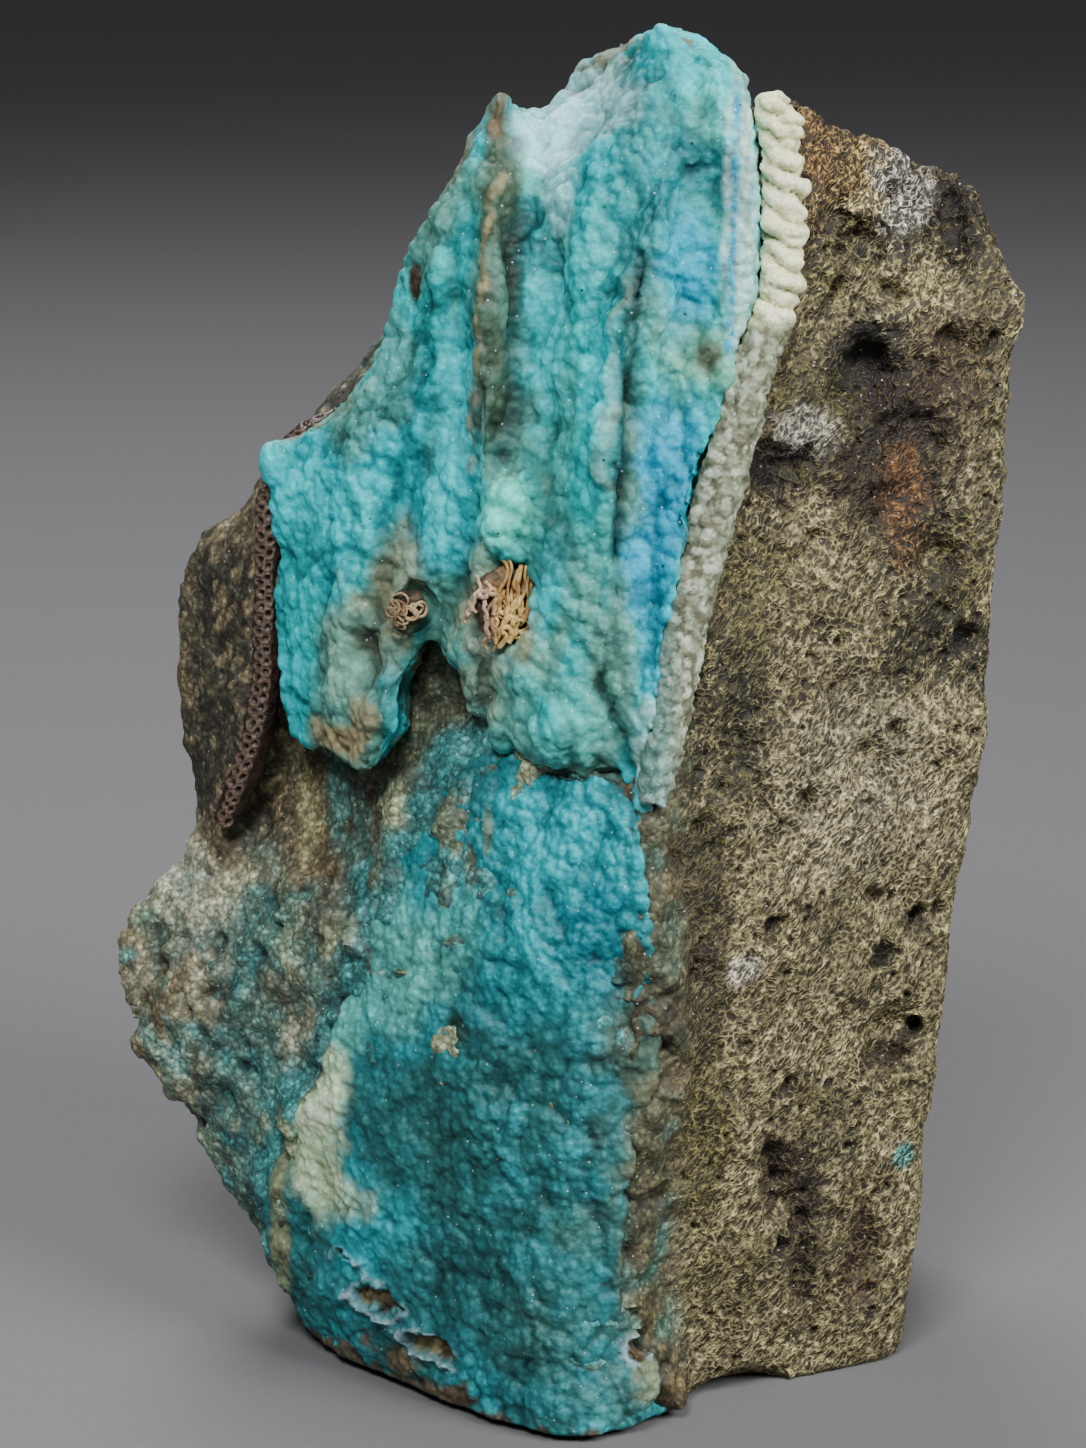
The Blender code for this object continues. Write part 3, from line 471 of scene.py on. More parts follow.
def makeCurtain():
    look = curtainLook
    palette = look["palette"]
    piece = remeshed("blue_curtain", "hemimorphiteCurtain", look["voxel"], look["rounding"])
    refine(piece, lambda centres, normals: normals[:, 1] < 0.05)
    applyModifier(piece, "SMOOTH", factor=0.5, iterations=1)
    points, normals = readPoints(piece)
    points = grab(points, look["pulls"])
    relief, value, crease = beadRelief(points, look["lumps"])
    front = step01(-normals[:, 1], -0.5, 0.1)
    # the pale edge band has fine beads only
    bandX = 16.9 + (points[:, 2] - 102) * 0.028
    onBand = step01(points[:, 0], bandX - 1.6, bandX - 0.7) * step01(points[:, 2], 99, 103)
    edgeBeads, edgeOwner = beads(points, 0.9, 63)[:2]
    fine = layeredNoise(points, 0.7, 91, 2) - 0.5
    cut = np.zeros(len(points))
    for line, halfWidth, depth in look["grooves"]:
        away = lineDistance(warped(points, 3.0, 0.6, 33), line)
        cut = np.maximum(cut, np.exp(-(away / halfWidth) ** 2) * depth)
    rib = np.zeros(len(points))
    for line, halfWidth, rise in look["ribs"]:
        away = lineDistance(warped(points, 2.5, 0.7, 35), line)
        rib = np.maximum(rib, np.exp(-(away / halfWidth) ** 2) * rise)
    # the crust hangs down in long drapes
    drape = layeredNoise(warped(points, 9, 2.5, 36) / (3.6, 12, 24), 1.0, 37, 2) - 0.5
    height = ((relief + drape * 2.6) * (1 - 0.85 * onBand)
              + (edgeBeads - 0.4) * 0.5 * onBand + fine * 0.1 - cut + rib)
    writePoints(piece, points + normals * (height * (0.35 + 0.65 * front))[:, None])

    tint = np.tile(look["base"], (len(points), 1))
    cloud = layeredNoise(warped(points, 9, 2.5, 36) * (1.3, 0.6, 0.3), 6, 41, 3) + drape * 0.25
    tint = blend(tint, palette["cyan"], step01(cloud, 0.5, 0.68) * 0.8)
    tint = blend(tint, palette["greyGreen"], step01(1 - cloud, 0.46, 0.64) * 0.8)
    tint = paintPatches(tint, points, look["patches"], palette, 2.2, 51, front)
    worn = 0.1 + 1.5 * layeredNoise(points, 2.2, 38, 3)
    for line, halfWidth, name, strength in look["streaks"]:
        away = lineDistance(warped(points, 2.5, 0.7, 35), line) / halfWidth
        tint = blend(tint, palette[name], (1 - step01(away, 0.5, 1.3)) * strength * np.clip(worn, 0, 1) * front)
    # blue beads down the middle of the pale edge band
    bandEnds = step01(points[:, 2], 101, 103) * (1 - step01(points[:, 2], 124.5, 126))
    band = np.exp(-((points[:, 0] - bandX) / 0.42) ** 2) * bandEnds
    tint = blend(tint, palette["blueBand"], np.clip(band * (0.5 + edgeOwner) * front, 0, 1))
    # the torn outer rim is tan; painted light on the tops of the lumps, painted shade in the creases, the
    # grooves and the low parts of the drapes, and each bead's own random tone
    side = step01(normals[:, 1], -0.45, 0.1) * (points[:, 0] < 14)
    tint = blend(tint, palette["tan"] * 0.6, side * step01(layeredNoise(points, 1.6, 43, 2), 0.35, 0.6) * 0.8)
    up = np.clip(relief / 1.3, -0.6, 0.8)
    toneAndPaintedShading = 1 + value * 0.5 - crease * 0.3 + up * 0.25 + drape * 0.4 - cut * 0.5
    tint = tint * (look["lift"] * np.clip(toneAndPaintedShading, 0.15, 2))[:, None]
    # painted sheen on the tops of the lumps, kept off the pools on the right
    tint = blend(tint, palette["paintedTopSheen"], step01(up, 0.0, 0.7) * 0.07 * (1 - step01(points[:, 0], 7, 9)))
    writeColour(piece, "tint", tint)
    finishPiece(piece, crustMaterial("hemimorphiteBlue", look["finish"]), ["blue_curtain"])


# Teal apron: the smaller-lumped crust under the curtain

apronLook = {
    "voxel": 0.5, "rounding": 3,
    "lumps": ((5.0, 1.5, 0.12, 21), (2.1, 1.2, 0.24, 22), (1.1, 1.1, 0.42, 23)),
    "lift": 1.6,
    "windows": ((-16.3, 9.6, 1.7, 1.7), (-11.2, 5.9, 1.9, 0.9), (-19.2, 12.8, 1.2, 0.7), (9.4, 8.6, 2.0, 1.0)),
    "base": paint(0.016, 0.175, 0.192),
    "palette": {
        "turquoise": paint(0.007, 0.31, 0.36), "pool": paint(0.0, 0.13, 0.17),
        "druse": paint(0.052, 0.078, 0.052),
        "khaki": paint(0.130, 0.122, 0.062), "greyGreen": paint(0.039, 0.111, 0.093),
        "cream": paint(0.52, 0.70, 0.43),
        "creamCyan": paint(0.11, 0.45, 0.39), "deep": paint(0.015, 0.081, 0.076),
        "spot": paint(0.010, 0.032, 0.020),
        "brown": paint(0.095, 0.057, 0.031), "lilac": paint(0.42, 0.60, 0.68),
        "rust": paint(0.147, 0.072, 0.028),
        "tan": paint(0.249, 0.247, 0.114), "rim": paint(0.037, 0.029, 0.017),
        "foot": paint(0.13, 0.105, 0.055)},
    "patches": [
        (1.6, 56.5, 8.5, 6.5, "turquoise", 0.8), (-10.7, 52.1, 6.3, 6.3, "turquoise", 0.6),
        (5.2, 49.9, 3.8, 5.4, "pool", 0.85),
        (-2, 47, 4.5, 5, "turquoise", 0.5), (-13.6, 43.4, 4.4, 6.6, "creamCyan", 0.75),
        (-19, 38.4, 2.4, 6.6, "creamCyan", 0.8),
        (-8.5, 48, 2.6, 5, "creamCyan", 0.4), (-16.5, 52, 2.2, 6, "greyGreen", 0.6),
        (-10.7, 28, 8.3, 8.3, "deep", 0.7), (-4.1, 17, 9.4, 8.3, "deep", 0.55), (-7.5, 36, 5, 3.5, "deep", 0.4),
        (5.3, 20.9, 4.2, 3.1, "greyGreen", 0.7), (0, 10, 6, 4, "greyGreen", 0.35),
        (-18, 16, 3, 5, "turquoise", 0.7),
        (9.4, 38.6, 4.2, 5.2, "druse", 0.85), (8.0, 30, 3.6, 6, "druse", 0.6),
        (10.5, 27.5, 3.2, 8.3, "khaki", 0.8),
        (9.8, 17, 2.6, 6, "khaki", 0.7), (-22.1, 24.7, 2.9, 7.6, "cream", 0.95),
        (-19.6, 19.4, 3.2, 2.4, "cream", 0.6),
        (-20.8, 31.5, 2.2, 3.5, "cream", 0.8), (-8.3, 38.3, 0.9, 1.6, "spot", 0.85),
        (-13.8, 3.2, 1.9, 1.7, "foot", 0.95), (-9.6, 1.2, 2.2, 1.4, "foot", 0.9),
        (-9.7, 57.1, 1.3, 1.3, "rust", 0.95), (-7.0, 53.6, 0.5, 2.2, "tan", 0.7),
        (-5.4, 57.0, 0.5, 2.4, "tan", 0.6), (-15.2, 47.6, 0.7, 1.0, "rust", 0.8),
        (-18, 43.6, 0.7, 0.9, "rust", 0.8),
        (6.4, 4.2, 3.4, 3.4, "druse", 0.45), (11.6, 52, 0.7, 6, "rim", 0.8), (9.5, 15, 3.0, 7, "druse", 0.7),
        (11.2, 8, 3, 5, "tan", 0.6), (-26, 12, 1.0, 14, "tan", 0.7)],
    "finish": {
        "grainDark": 0.75, "pebbles": 1450.0, "pebbleShade": 0.78, "specks": 0.8,
        "speckColour": (0.015, 0.015, 0.01),
        "glints": 0.5, "bump": 0.6, "roughLow": 0.42, "roughHigh": 0.68, "gloss": 0.32, "depth": 0.25,
        "reach": (0.3, 0.9, 1.0)},
}


def makeApron():
    look = apronLook
    palette = look["palette"]
    piece = remeshed("teal_apron", "hemimorphiteApron", look["voxel"], look["rounding"])
    refine(piece, lambda centres, normals: normals[:, 1] < 0.05)
    applyModifier(piece, "SMOOTH", factor=0.5, iterations=1)
    points, normals = readPoints(piece)
    x, z = points[:, 0], points[:, 2]
    relief, value, crease = beadRelief(points, look["lumps"], 3)
    front = step01(-normals[:, 1], -0.5, 0.1)
    # the grey druse on the right and the left part are craggier than beaded
    craggy = np.clip(step01(x, 4, 9) * (1 - step01(z, 42, 46)) + step01(-x, 11, 20), 0, 1)
    crag = layeredNoise(warped(points, 2, 0.8, 70) * (1, 1, 0.6), 2.6, 71, 4) - 0.5
    ridges = 0.5 - np.abs(2 * layeredNoise(points, 1.5, 72, 2) - 1)
    fine = layeredNoise(points, 0.8, 92, 2) - 0.5
    height = relief * (1 - 0.45 * craggy) + (crag * 2.4 + ridges * 0.5) * craggy + fine * 0.15
    # windows in the foot: a pale rim round a dark hole
    hole, rim = np.zeros(len(points)), np.zeros(len(points))
    edge = (layeredNoise(points, 2.2, 75, 4) - 0.5) * 2.6
    reach = layeredNoise(points, 2.0, 77, 2)
    for px, pz, halfWidth, halfHeight in look["windows"]:
        away = np.sqrt(((x - px) / halfWidth) ** 2 + ((z - pz) / halfHeight) ** 2) + edge
        hole = np.maximum(hole, 1 - step01(away, 0.6, 0.9))
        rim = np.maximum(rim, np.exp(-((away - 1.15) / 0.22) ** 2))
    hole, rim = hole * front, rim * front
    height += rim * 0.4 * step01(reach, 0.35, 0.6) - hole * (0.9 + crag)
    keepOff = step01(z, 0.2, 1.6)                       # nothing grows down through the floor
    writePoints(piece, points + normals * (height * (0.35 + 0.65 * front) * keepOff)[:, None])
    tint = np.tile(look["base"], (len(points), 1))
    cloud = layeredNoise(points * (1, 1, 0.7), 5, 42, 4)
    tint = blend(tint, palette["turquoise"], step01(cloud, 0.5, 0.66) * 0.5)
    tint = blend(tint, palette["deep"], step01(1 - cloud, 0.5, 0.66) * 0.55)
    tint = paintPatches(tint, points, look["patches"], palette, 2.2, 52, front)
    # the brown layer under the crust shows along the ragged foot and at the sides
    ragged = z + (layeredNoise(points, 2.2, 76, 3) - 0.5) * 8 - 2.0 + 2.5 * step01(x, -8, 0)
    tint = blend(tint, palette["rim"] * 2.2, (1 - step01(ragged, 0.0, 1.4)) * 0.95)
    side = step01(normals[:, 1], -0.45, 0.1)
    tint = blend(tint, palette["rim"] * 1.5, side * 0.8)
    # painted light on the lump tops and raised crags, painted shade in the creases and low crags, and each
    # bead's own random tone; paler turquoise painted on the tops
    up = np.clip(relief / 1.2, -0.6, 0.8)
    toneAndPaintedShading = 1 + value * 0.5 - crease * 0.3 * (1 - craggy) + up * 0.2 + crag * craggy * 1.1
    tint = tint * (look["lift"] * np.clip(toneAndPaintedShading, 0.15, 2))[:, None]
    tint = blend(tint, palette["turquoise"] * 1.3, step01(up, 0.1, 0.8) * 0.2 * (1 - craggy))
    tint = blend(tint, palette["lilac"], np.clip(rim, 0, 1) * step01(reach, 0.3, 0.55) * 0.75)
    tint = blend(tint, blend(palette["brown"], palette["tan"], step01(crag, -0.05, 0.2)), hole)
    writeColour(piece, "tint", tint)
    finishPiece(piece, crustMaterial("hemimorphiteTeal", look["finish"]), ["teal_apron"])
    return piece


# Matrix rock

rockLook = {
    "voxel": 1.1, "rounding": 2, "keep": 0.62,
    "khaki": paint(0.19, 0.163, 0.080), "khakiDark": paint(0.045, 0.035, 0.014),
    "khakiPale": paint(0.40, 0.35, 0.18),
    "palette": {
        "olive": paint(0.086, 0.077, 0.026), "oliveDark": paint(0.048, 0.043, 0.017),
        "brown": paint(0.060, 0.036, 0.016),
        "rust": paint(0.169, 0.079, 0.026), "darkBrown": paint(0.022, 0.014, 0.007),
        "paintedPitShade": paint(0.007, 0.006, 0.004), "khakiLight": paint(0.38, 0.35, 0.22),
        "grey": paint(0.50, 0.48, 0.42), "boxwork": paint(0.33, 0.215, 0.075), "ledge": paint(0.55, 0.48, 0.22),
        "slab": paint(0.080, 0.075, 0.054),
        "slabTan": paint(0.34, 0.28, 0.15), "bulge": paint(0.66, 0.66, 0.47),
        "patina": paint(0.048, 0.253, 0.250),
        "patinaDark": paint(0.034, 0.110, 0.104), "alcove": paint(0.10, 0.115, 0.065),
        "alcoveBrown": paint(0.14, 0.10, 0.05),
        "teal": paint(0.06, 0.30, 0.27), "cream": paint(0.40, 0.40, 0.20), "tan": paint(0.186, 0.146, 0.072),
        "druse": paint(0.105, 0.105, 0.058), "gold": paint(0.15, 0.11, 0.04)},
    "front": [
        (29.6, 119, 9, 7, "boxwork", 0.8), (24.5, 119.5, 3.5, 4, "rust", 0.55),
        (33.5, 114.6, 3.2, 3.6, "grey", 0.95),
        (29.4, 113.8, 3.6, 0.9, "ledge", 0.9), (38.6, 112.5, 2.4, 5, "darkBrown", 0.85),
        (27.2, 113.2, 1.6, 2.2, "darkBrown", 0.7),
        (41.5, 106, 2.5, 5, "oliveDark", 0.6), (36, 106, 3.5, 3.5, "ledge", 0.35),
        (25.5, 108.5, 5.5, 3.0, "olive", 0.6),
        (33.5, 91, 7, 9, "darkBrown", 0.95), (30.5, 98.5, 4.5, 4.5, "darkBrown", 1.0),
        (25.5, 96.5, 6, 3.2, "olive", 0.8),
        (17.5, 74, 2.2, 14, "oliveDark", 0.8), (14.8, 50, 2.8, 14, "oliveDark", 0.85),
        (15.5, 30, 2.8, 12, "olive", 0.8),
        (25.5, 15, 1.6, 8, "darkBrown", 0.8), (22.5, 22.5, 1.6, 4.5, "darkBrown", 0.9),
        (31, 12, 2.0, 6, "darkBrown", 0.6),
        (24.5, 100, 5.5, 5, "oliveDark", 0.6), (34.5, 96, 4.6, 5, "darkBrown", 0.7),
        (38.5, 99.5, 4, 6, "brown", 0.55),
        (31.2, 88.5, 3.6, 3.4, "darkBrown", 0.7), (34.2, 85.5, 2.4, 6, "rust", 0.6),
        (21.5, 91, 2.6, 3.4, "darkBrown", 0.75),
        (23.8, 94, 3, 2.4, "grey", 0.5), (38.8, 79.5, 3, 4.5, "olive", 0.8), (42, 88, 2, 8, "oliveDark", 0.5),
        (19.8, 79, 2.4, 8, "olive", 0.7), (18.8, 68, 2.6, 7, "oliveDark", 0.6),
        (33.6, 73.4, 2.2, 4, "olive", 0.4),
        (32.4, 62.3, 2.4, 3.2, "oliveDark", 0.6), (14.5, 52, 3.4, 8, "oliveDark", 0.7),
        (13.8, 40, 2.6, 10, "darkBrown", 0.6),
        (14.5, 27, 3.2, 9, "olive", 0.6), (17, 12, 4, 6, "olive", 0.6), (24.8, 20, 1.7, 5, "darkBrown", 0.7),
        (26.6, 12, 1.6, 6, "oliveDark", 0.5), (30.5, 10, 2.4, 3.6, "brown", 0.7),
        (31.5, 17, 3.2, 5, "brown", 0.3),
        (35, 22.1, 0.9, 1.1, "teal", 0.8), (18.9, 44.1, 1.6, 1.5, "grey", 0.6),
        # black spots: painted shade in the deepest pits
        (36, 46, 1.2, 1.4, "paintedPitShade", 0.8),
        (35.7, 34.6, 1.1, 1.2, "paintedPitShade", 0.85), (33.6, 32.4, 2.4, 1.4, "darkBrown", 0.8),
        (29.5, 101.6, 2, 1.8, "paintedPitShade", 0.85),
        (20.6, 90.4, 1.4, 1.4, "paintedPitShade", 0.8), (38.7, 79.0, 1.6, 1.4, "darkBrown", 0.8),
        (30, 60, 9, 9, "khakiLight", 0.35)],
    # hollows in the broken face: x, z, half width, half height, depth
    "hollows": [
        (22.5, 22.5, 2.0, 4.5, 1.9), (25.0, 13.0, 1.8, 5.5, 1.6), (31.4, 12.5, 2.0, 6, 1.1),
        (35.7, 34.8, 1.4, 1.5, 2.0),
        (33.2, 32.2, 2.6, 1.8, 1.3), (36.2, 46, 1.4, 1.6, 1.8), (30.5, 98.5, 3.8, 3.6, 2.0),
        (27.2, 113.2, 2.4, 2.4, 1.5),
        (38.6, 111, 2.0, 5, 1.3), (34, 90, 4.6, 6.5, 1.3), (21.3, 91, 2.4, 3, 1.6), (39, 98, 3, 4, 1.2),
        (37.5, 71, 2, 3.5, 1.0),
        (24.5, 82, 2.4, 3.0, 0.9), (28, 68, 2.4, 4.5, 0.7), (20.5, 58, 2.0, 6, 0.8)],
    "leftSide": [
        (-32, 82, 5, 5, "slabTan", 0.55), (-36.5, 72, 2.0, 12, "slabTan", 0.55), (-33, 62, 4, 5, "slab", 0.4),
        (-24, 56, 3, 6, "cream", 0.35), (-29, 50, 4, 4, "alcoveBrown", 0.5),
        (-35.5, 43, 4.5, 4.5, "bulge", 1.0),
        (-30, 39, 3.4, 5, "patina", 0.7), (-26, 44, 2.4, 5, "teal", 0.55), (-29.4, 27, 4.2, 8, "patina", 0.7),
        (-33, 34, 2.2, 3, "darkBrown", 0.55), (-39, 37, 2, 4, "tan", 0.6),
        (-25.5, 35.5, 2.6, 3.4, "alcoveBrown", 0.8),
        (-27, 22, 3, 8, "patina", 0.8), (-24, 42, 1.6, 4, "cream", 0.5), (-33.5, 24, 1.4, 6, "darkBrown", 0.6)],
    "middle": [
        (-9.8, 67.8, 5, 6, "alcove", 0.9), (-6, 66, 2, 5, "alcoveBrown", 0.6),
        (-20.8, 52, 5, 6, "alcoveBrown", 0.6),
        (-20, 56, 1.4, 5, "teal", 0.6), (-23, 53, 1.2, 5, "cream", 0.6), (-17.5, 50, 1.4, 6, "teal", 0.5),
        (-21, 44, 2, 5, "tan", 0.5), (-13, 60, 3, 3, "alcove", 0.7)],
}


def alongFace(points):
    slant = np.array([0.60, 0.30, 0.74])
    slant /= np.linalg.norm(slant)
    across = np.cross(slant, [0.5, -0.86, 0.0])
    across /= np.linalg.norm(across)
    out = np.cross(slant, across)
    return np.stack([points @ slant, points @ across, points @ out], axis=1)


def makeRock(apron):
    look = rockLook
    palette = look["palette"]
    piece = remeshed("matrix_rock", "matrixRock", look["voxel"], look["rounding"])
    refine(piece, lambda c, n: (n[:, 1] < 0.2) | (c[:, 2] > 108))
    applyModifier(piece, "SMOOTH", factor=0.5, iterations=1)
    refine(piece, lambda c, n: (c[:, 0] > 11) & (c[:, 1] < 4 + 0.3 * (c[:, 0] - 10)) & (n[:, 1] < -0.1))
    applyModifier(piece, "SMOOTH", factor=0.4, iterations=1)
    points, normals = readPoints(piece)
    x, y, z = points.T
    front = step01(-normals[:, 1], -0.35, 0.0)
    sway = (layeredNoise(points, 12, 115, 3) - 0.5) * 40 * (1 - front)
    right = step01(x + sway, 10, 15)
    top = step01(z, 106, 110) * right
    slab = step01(-x, 14, 20) * step01(z, 45, 52)
    leftLow = step01(-x, 14, 20) * (1 - step01(z, 45, 52))
    middle = np.clip(1 - right - slab - leftLow, 0, 1)

    # the slanting, curling fibres
    face = alongFace(warped(points, 2.0, 0.7, 81))
    strokes = 1 - np.abs(2 * smoothNoise(face / (1.7, 0.5, 0.6), 1.0, 82) - 1)
    curls = 1 - np.abs(2 * smoothNoise(warped(points, 0.9, 0.4, 83), 0.8, 84) - 1)
    fibre = step01(np.clip(0.6 * strokes + 0.4 * curls, 0, 1), 0.4, 0.95)
    rough = layeredNoise(points, 4.5, 85, 4) - 0.5
    mottle = layeredNoise(points, 7, 96, 4)
    mottleSmall = layeredNoise(alongFace(points) * (0.6, 1, 1), 2.2, 106, 3)
    openness = step01(layeredNoise(points, 9, 107, 3) + (z - 70) * 0.0035, 0.42, 0.72)
    poreNear, poreOwner = cells(warped(points, 1.0, 0.3, 86), 1.5, 87)
    pores = (1 - step01(poreNear, 0.14, 0.4)) * (poreOwner > 0.72 - 0.4 * openness)
    vugNear, vugOwner = cells(warped(points, 2.5, 0.9, 88), 5.2, 89)
    vugs = (1 - step01(vugNear, 0.14, 0.34)) * (vugOwner > 0.72 - 0.4 * openness)
    grain, grainOwner, grainSeam = beads(warped(points, 1.0, 0.5, 90), 1.1, 93)
    crumb = layeredNoise(points, 1.5, 92, 2) - 0.5
    nubs = beads(points, 1.6, 94)[0]
    crag = layeredNoise(warped(alongFace(points) * (0.5, 1, 1), 3, 1.2, 77), 3.2, 95, 4) - 0.5
    ridges = 0.5 - np.abs(2 * layeredNoise(warped(points, 2, 0.6, 78), 2.4, 79, 3) - 1)
    caveNear, caveOwner = cells(warped(points, 1.6, 0.8, 108), 3.1, 109)
    caves = (1 - step01(caveNear, 0.2, 0.45)) * (caveOwner > 0.72)

    # the crusts run out over the rock beside them
    beside = (y < 6) & (x < 17) & (z < 72)
    gap = distanceTo(apron, points, beside & front.astype(bool))
    reach = layeredNoise(points, 3.5, 100, 3)
    leftOf = 1 - step01(x, 6, 9)
    spreadLeft = (1 - step01(gap + (reach - 0.5) * 5, 1.0, 6.0)) * leftOf
    spreadRight = (1 - step01(gap + (reach - 0.5) * 5, 0.5, 4.0)) * (1 - leftOf)
    shoulder = np.clip(1 - gap / 5.5, 0, 1) ** 1.5 * leftOf * 2.0
    shoulder += np.clip(1 - gap / 4.5, 0, 1) ** 1.4 * (1 - leftOf) * (2.6 * (1 - step01(z, 44, 54)) + 0.9)

    facingOut = step01(-normals[:, 1], -0.2, 0.2)
    relief = right * ((fibre - 0.5) * 0.22 + rough * 1.2 + (mottleSmall - 0.5) * 0.7 - pores * 0.5 - vugs * 1.5)
    torn = (layeredNoise(points, 2.4, 118, 3) - 0.5) * 1.3
    hollow = np.zeros(len(points))
    for px, pz, halfWidth, halfHeight, depth in look["hollows"]:
        away = np.sqrt(((x - px) / halfWidth) ** 2 + ((z - pz) / halfHeight) ** 2) + torn
        hollow = np.maximum(hollow, (1 - step01(away, 0.35, 1.0)) * depth)
    hollow *= right * facingOut
    relief -= hollow
    relief += slab * ((grain - 0.5) * 0.2 + crumb * 0.7 + rough * 1.2 + ridges * 0.35)
    relief += leftLow * (crag * 2.8 + ridges * 1.1 + crumb * 0.8 - caves * 0.9)
    relief += middle * (crag * 1.8 + ridges * 0.8 + crumb * 0.7 - caves * 0.5)
    relief += top * (ridges * 0.9 + crumb * 0.5 - caves * 1.2)
    relief += (1 - front) * (nubs - 0.7) * 0.55
    keepOff = step01(z, 0.4, 2.2)
    relief = np.clip(relief, -3.0, 1.3) + shoulder * (1 + crag * 1.4 + crumb * 0.6)
    writePoints(piece, points + normals * (relief * keepOff)[:, None])

    khaki = blend(look["khakiDark"], look["khaki"], step01(fibre, -0.25, 0.45))
    khaki = blend(khaki, look["khakiPale"], step01(fibre, 0.55, 1.0) * 0.5)
    khaki = blend(khaki, palette["oliveDark"], step01(mottle, 0.52, 0.7) * 0.6)
    khaki = blend(khaki, palette["olive"], step01(mottleSmall, 0.5, 0.75) * 0.45)
    # painted shade in the pores, vugs, hollows and top caves; a little darker again where the rock is more open
    paintedHoleShade = np.clip(pores + vugs + hollow * 0.3 + caves * top * 0.8, 0, 1)
    khaki = khaki * (1 - 0.88 * paintedHoleShade)[:, None] * (1 - 0.22 * openness)[:, None]
    dark = blend(palette["slab"], palette["slabTan"],
                 step01(grainOwner + (mottle - 0.5), 0.72, 0.95) * 0.9)
    # painted shade in the seams between the grains
    dark = dark * (1.1 - 0.5 * grainSeam)[:, None]
    left = blend(palette["bulge"], palette["alcoveBrown"], step01(mottle + crag * 0.9, 0.5, 0.72) * 0.85)
    left = blend(left, palette["patina"],
        step01(layeredNoise(points * (1, 1, 0.7), 7, 110, 4), 0.48, 0.58) * 0.8)
    low = layeredNoise(points, 3, 117, 3) - (z - 26) * 0.012
    left = blend(left, palette["patina"] * 1.3, step01(low, 0.42, 0.56) * 0.75)
    left = blend(left, palette["cream"], step01(ridges, 0.15, 0.42) * 0.4)
    # painted shade in the caves, and painted light and shade following the crags and crumbs of the relief
    left = blend(left, palette["darkBrown"], caves * 0.85) * (0.95 + 1.0 * crag + 0.8 * crumb)[:, None]
    mid = blend(palette["alcove"], palette["alcoveBrown"], step01(mottle, 0.45, 0.65))
    mid = blend(mid, palette["teal"], step01(layeredNoise(points, 3, 113, 3), 0.5, 0.65) * 0.6)
    # painted shade in the caves, and painted light and shade following the crags of the relief
    mid = blend(mid, palette["darkBrown"], caves * 0.7) * (0.9 + 0.8 * crag)[:, None]
    backRock = blend(dark * 1.2, khaki, step01(layeredNoise(points, 6, 116, 4), 0.42, 0.62))
    mid = blend(backRock, mid, front)
    left = blend(backRock * 1.3, left, np.clip(front + 0.35, 0, 1))
    tint = khaki * right[:, None] + dark * slab[:, None] + left * leftLow[:, None] + mid * middle[:, None]
    broken = np.clip(0.7 + 0.9 * mottleSmall - 0.3 * fibre, 0, 1)
    tint = paintPatches(tint, points, look["front"], palette, 1.6, 97, right * front * broken)
    tint = paintPatches(tint, points, look["leftSide"], palette, 1.6, 98, (1 - right) * front * (0.6 + crag))
    tint = paintPatches(tint, points, look["middle"], palette, 1.6, 99, (1 - right) * front)
    crust = blend(palette["patina"], palette["cream"], step01(mottle + crag * 0.6, 0.48, 0.66) * 0.8)
    crust = blend(crust, palette["patinaDark"], step01(reach, 0.5, 0.7) * 0.6)
    # painted shade in the caves, and painted light and shade following the crumbs of the relief
    crust = blend(crust, palette["darkBrown"], caves * 0.7) * (1.25 + 1.2 * crumb)[:, None]
    tint = blend(tint, crust, spreadLeft * facingOut * 0.9)
    depth = -z + layeredNoise(points, 6, 114, 2) * 20
    druse = blend(palette["druse"], palette["gold"], step01(depth, -22, -6))
    druse = blend(druse, palette["darkBrown"], step01(mottleSmall, 0.48, 0.66) * 0.75)
    # painted light and shade following the crumbs of the relief
    tint = blend(tint, druse * (1.0 + 1.4 * crumb)[:, None], spreadRight * facingOut * 0.9)
    writeColour(piece, "tint", tint)
    writeValue(piece, "fibrous", right * (1 - spreadRight * 0.8))
    writeValue(piece, "openness", np.clip(openness + top * 0.7, 0, 1))
    applyModifier(piece, "DECIMATE", ratio=look["keep"])    # keeps only this share of the faces; under 200,000 triangles

    material, tree = newMaterial("porousRock")
    place = node(tree, "TexCoord").outputs["Object"]
    tintColour = node(tree, "Attribute", attribute_name="tint").outputs["Color"]
    fibrous = node(tree, "Attribute", attribute_name="fibrous").outputs["Fac"]
    openPart = node(tree, "Attribute", attribute_name="openness").outputs["Fac"]
    drift = node(tree, "TexNoise", {"Vector": place, "Scale": 700.0, "Detail": 2.0}).outputs["Color"]
    swayed = node(tree, "VectorMath", {0: drift, 1: (0.0014, 0.0014, 0.0014), 2: place},
                  operation="MULTIPLY_ADD").outputs[0]
    turned = node(tree, "Mapping", {"Vector": swayed, "Rotation": (0, math.radians(-48), math.radians(22)),
                                    "Scale": (0.0021, 0.00043, 0.00043)}, vector_type="TEXTURE").outputs[0]
    strokeWall, curlWall = [
        node(tree, "TexVoronoi", {"Vector": where, "Scale": scale},
             feature="DISTANCE_TO_EDGE").outputs["Distance"]
        for where, scale in ((turned, 1.0), (swayed, 1450.0))]
    which = ramp(tree, node(tree, "TexNoise", {"Vector": place, "Scale": 190.0, "Detail": 2.0}).outputs["Fac"],
                 [(0.36, 0.0), (0.52, 1.0)])
    wall = mixColour(tree, "MIX", which, curlWall, strokeWall)
    gaps = node(tree, "TexNoise", {"Vector": place, "Scale": 1500.0, "Detail": 2.0}).outputs["Fac"]
    wall = node(tree, "Math", {0: gaps, 1: 0.55, 2: wall}, operation="MULTIPLY_ADD").outputs[0]
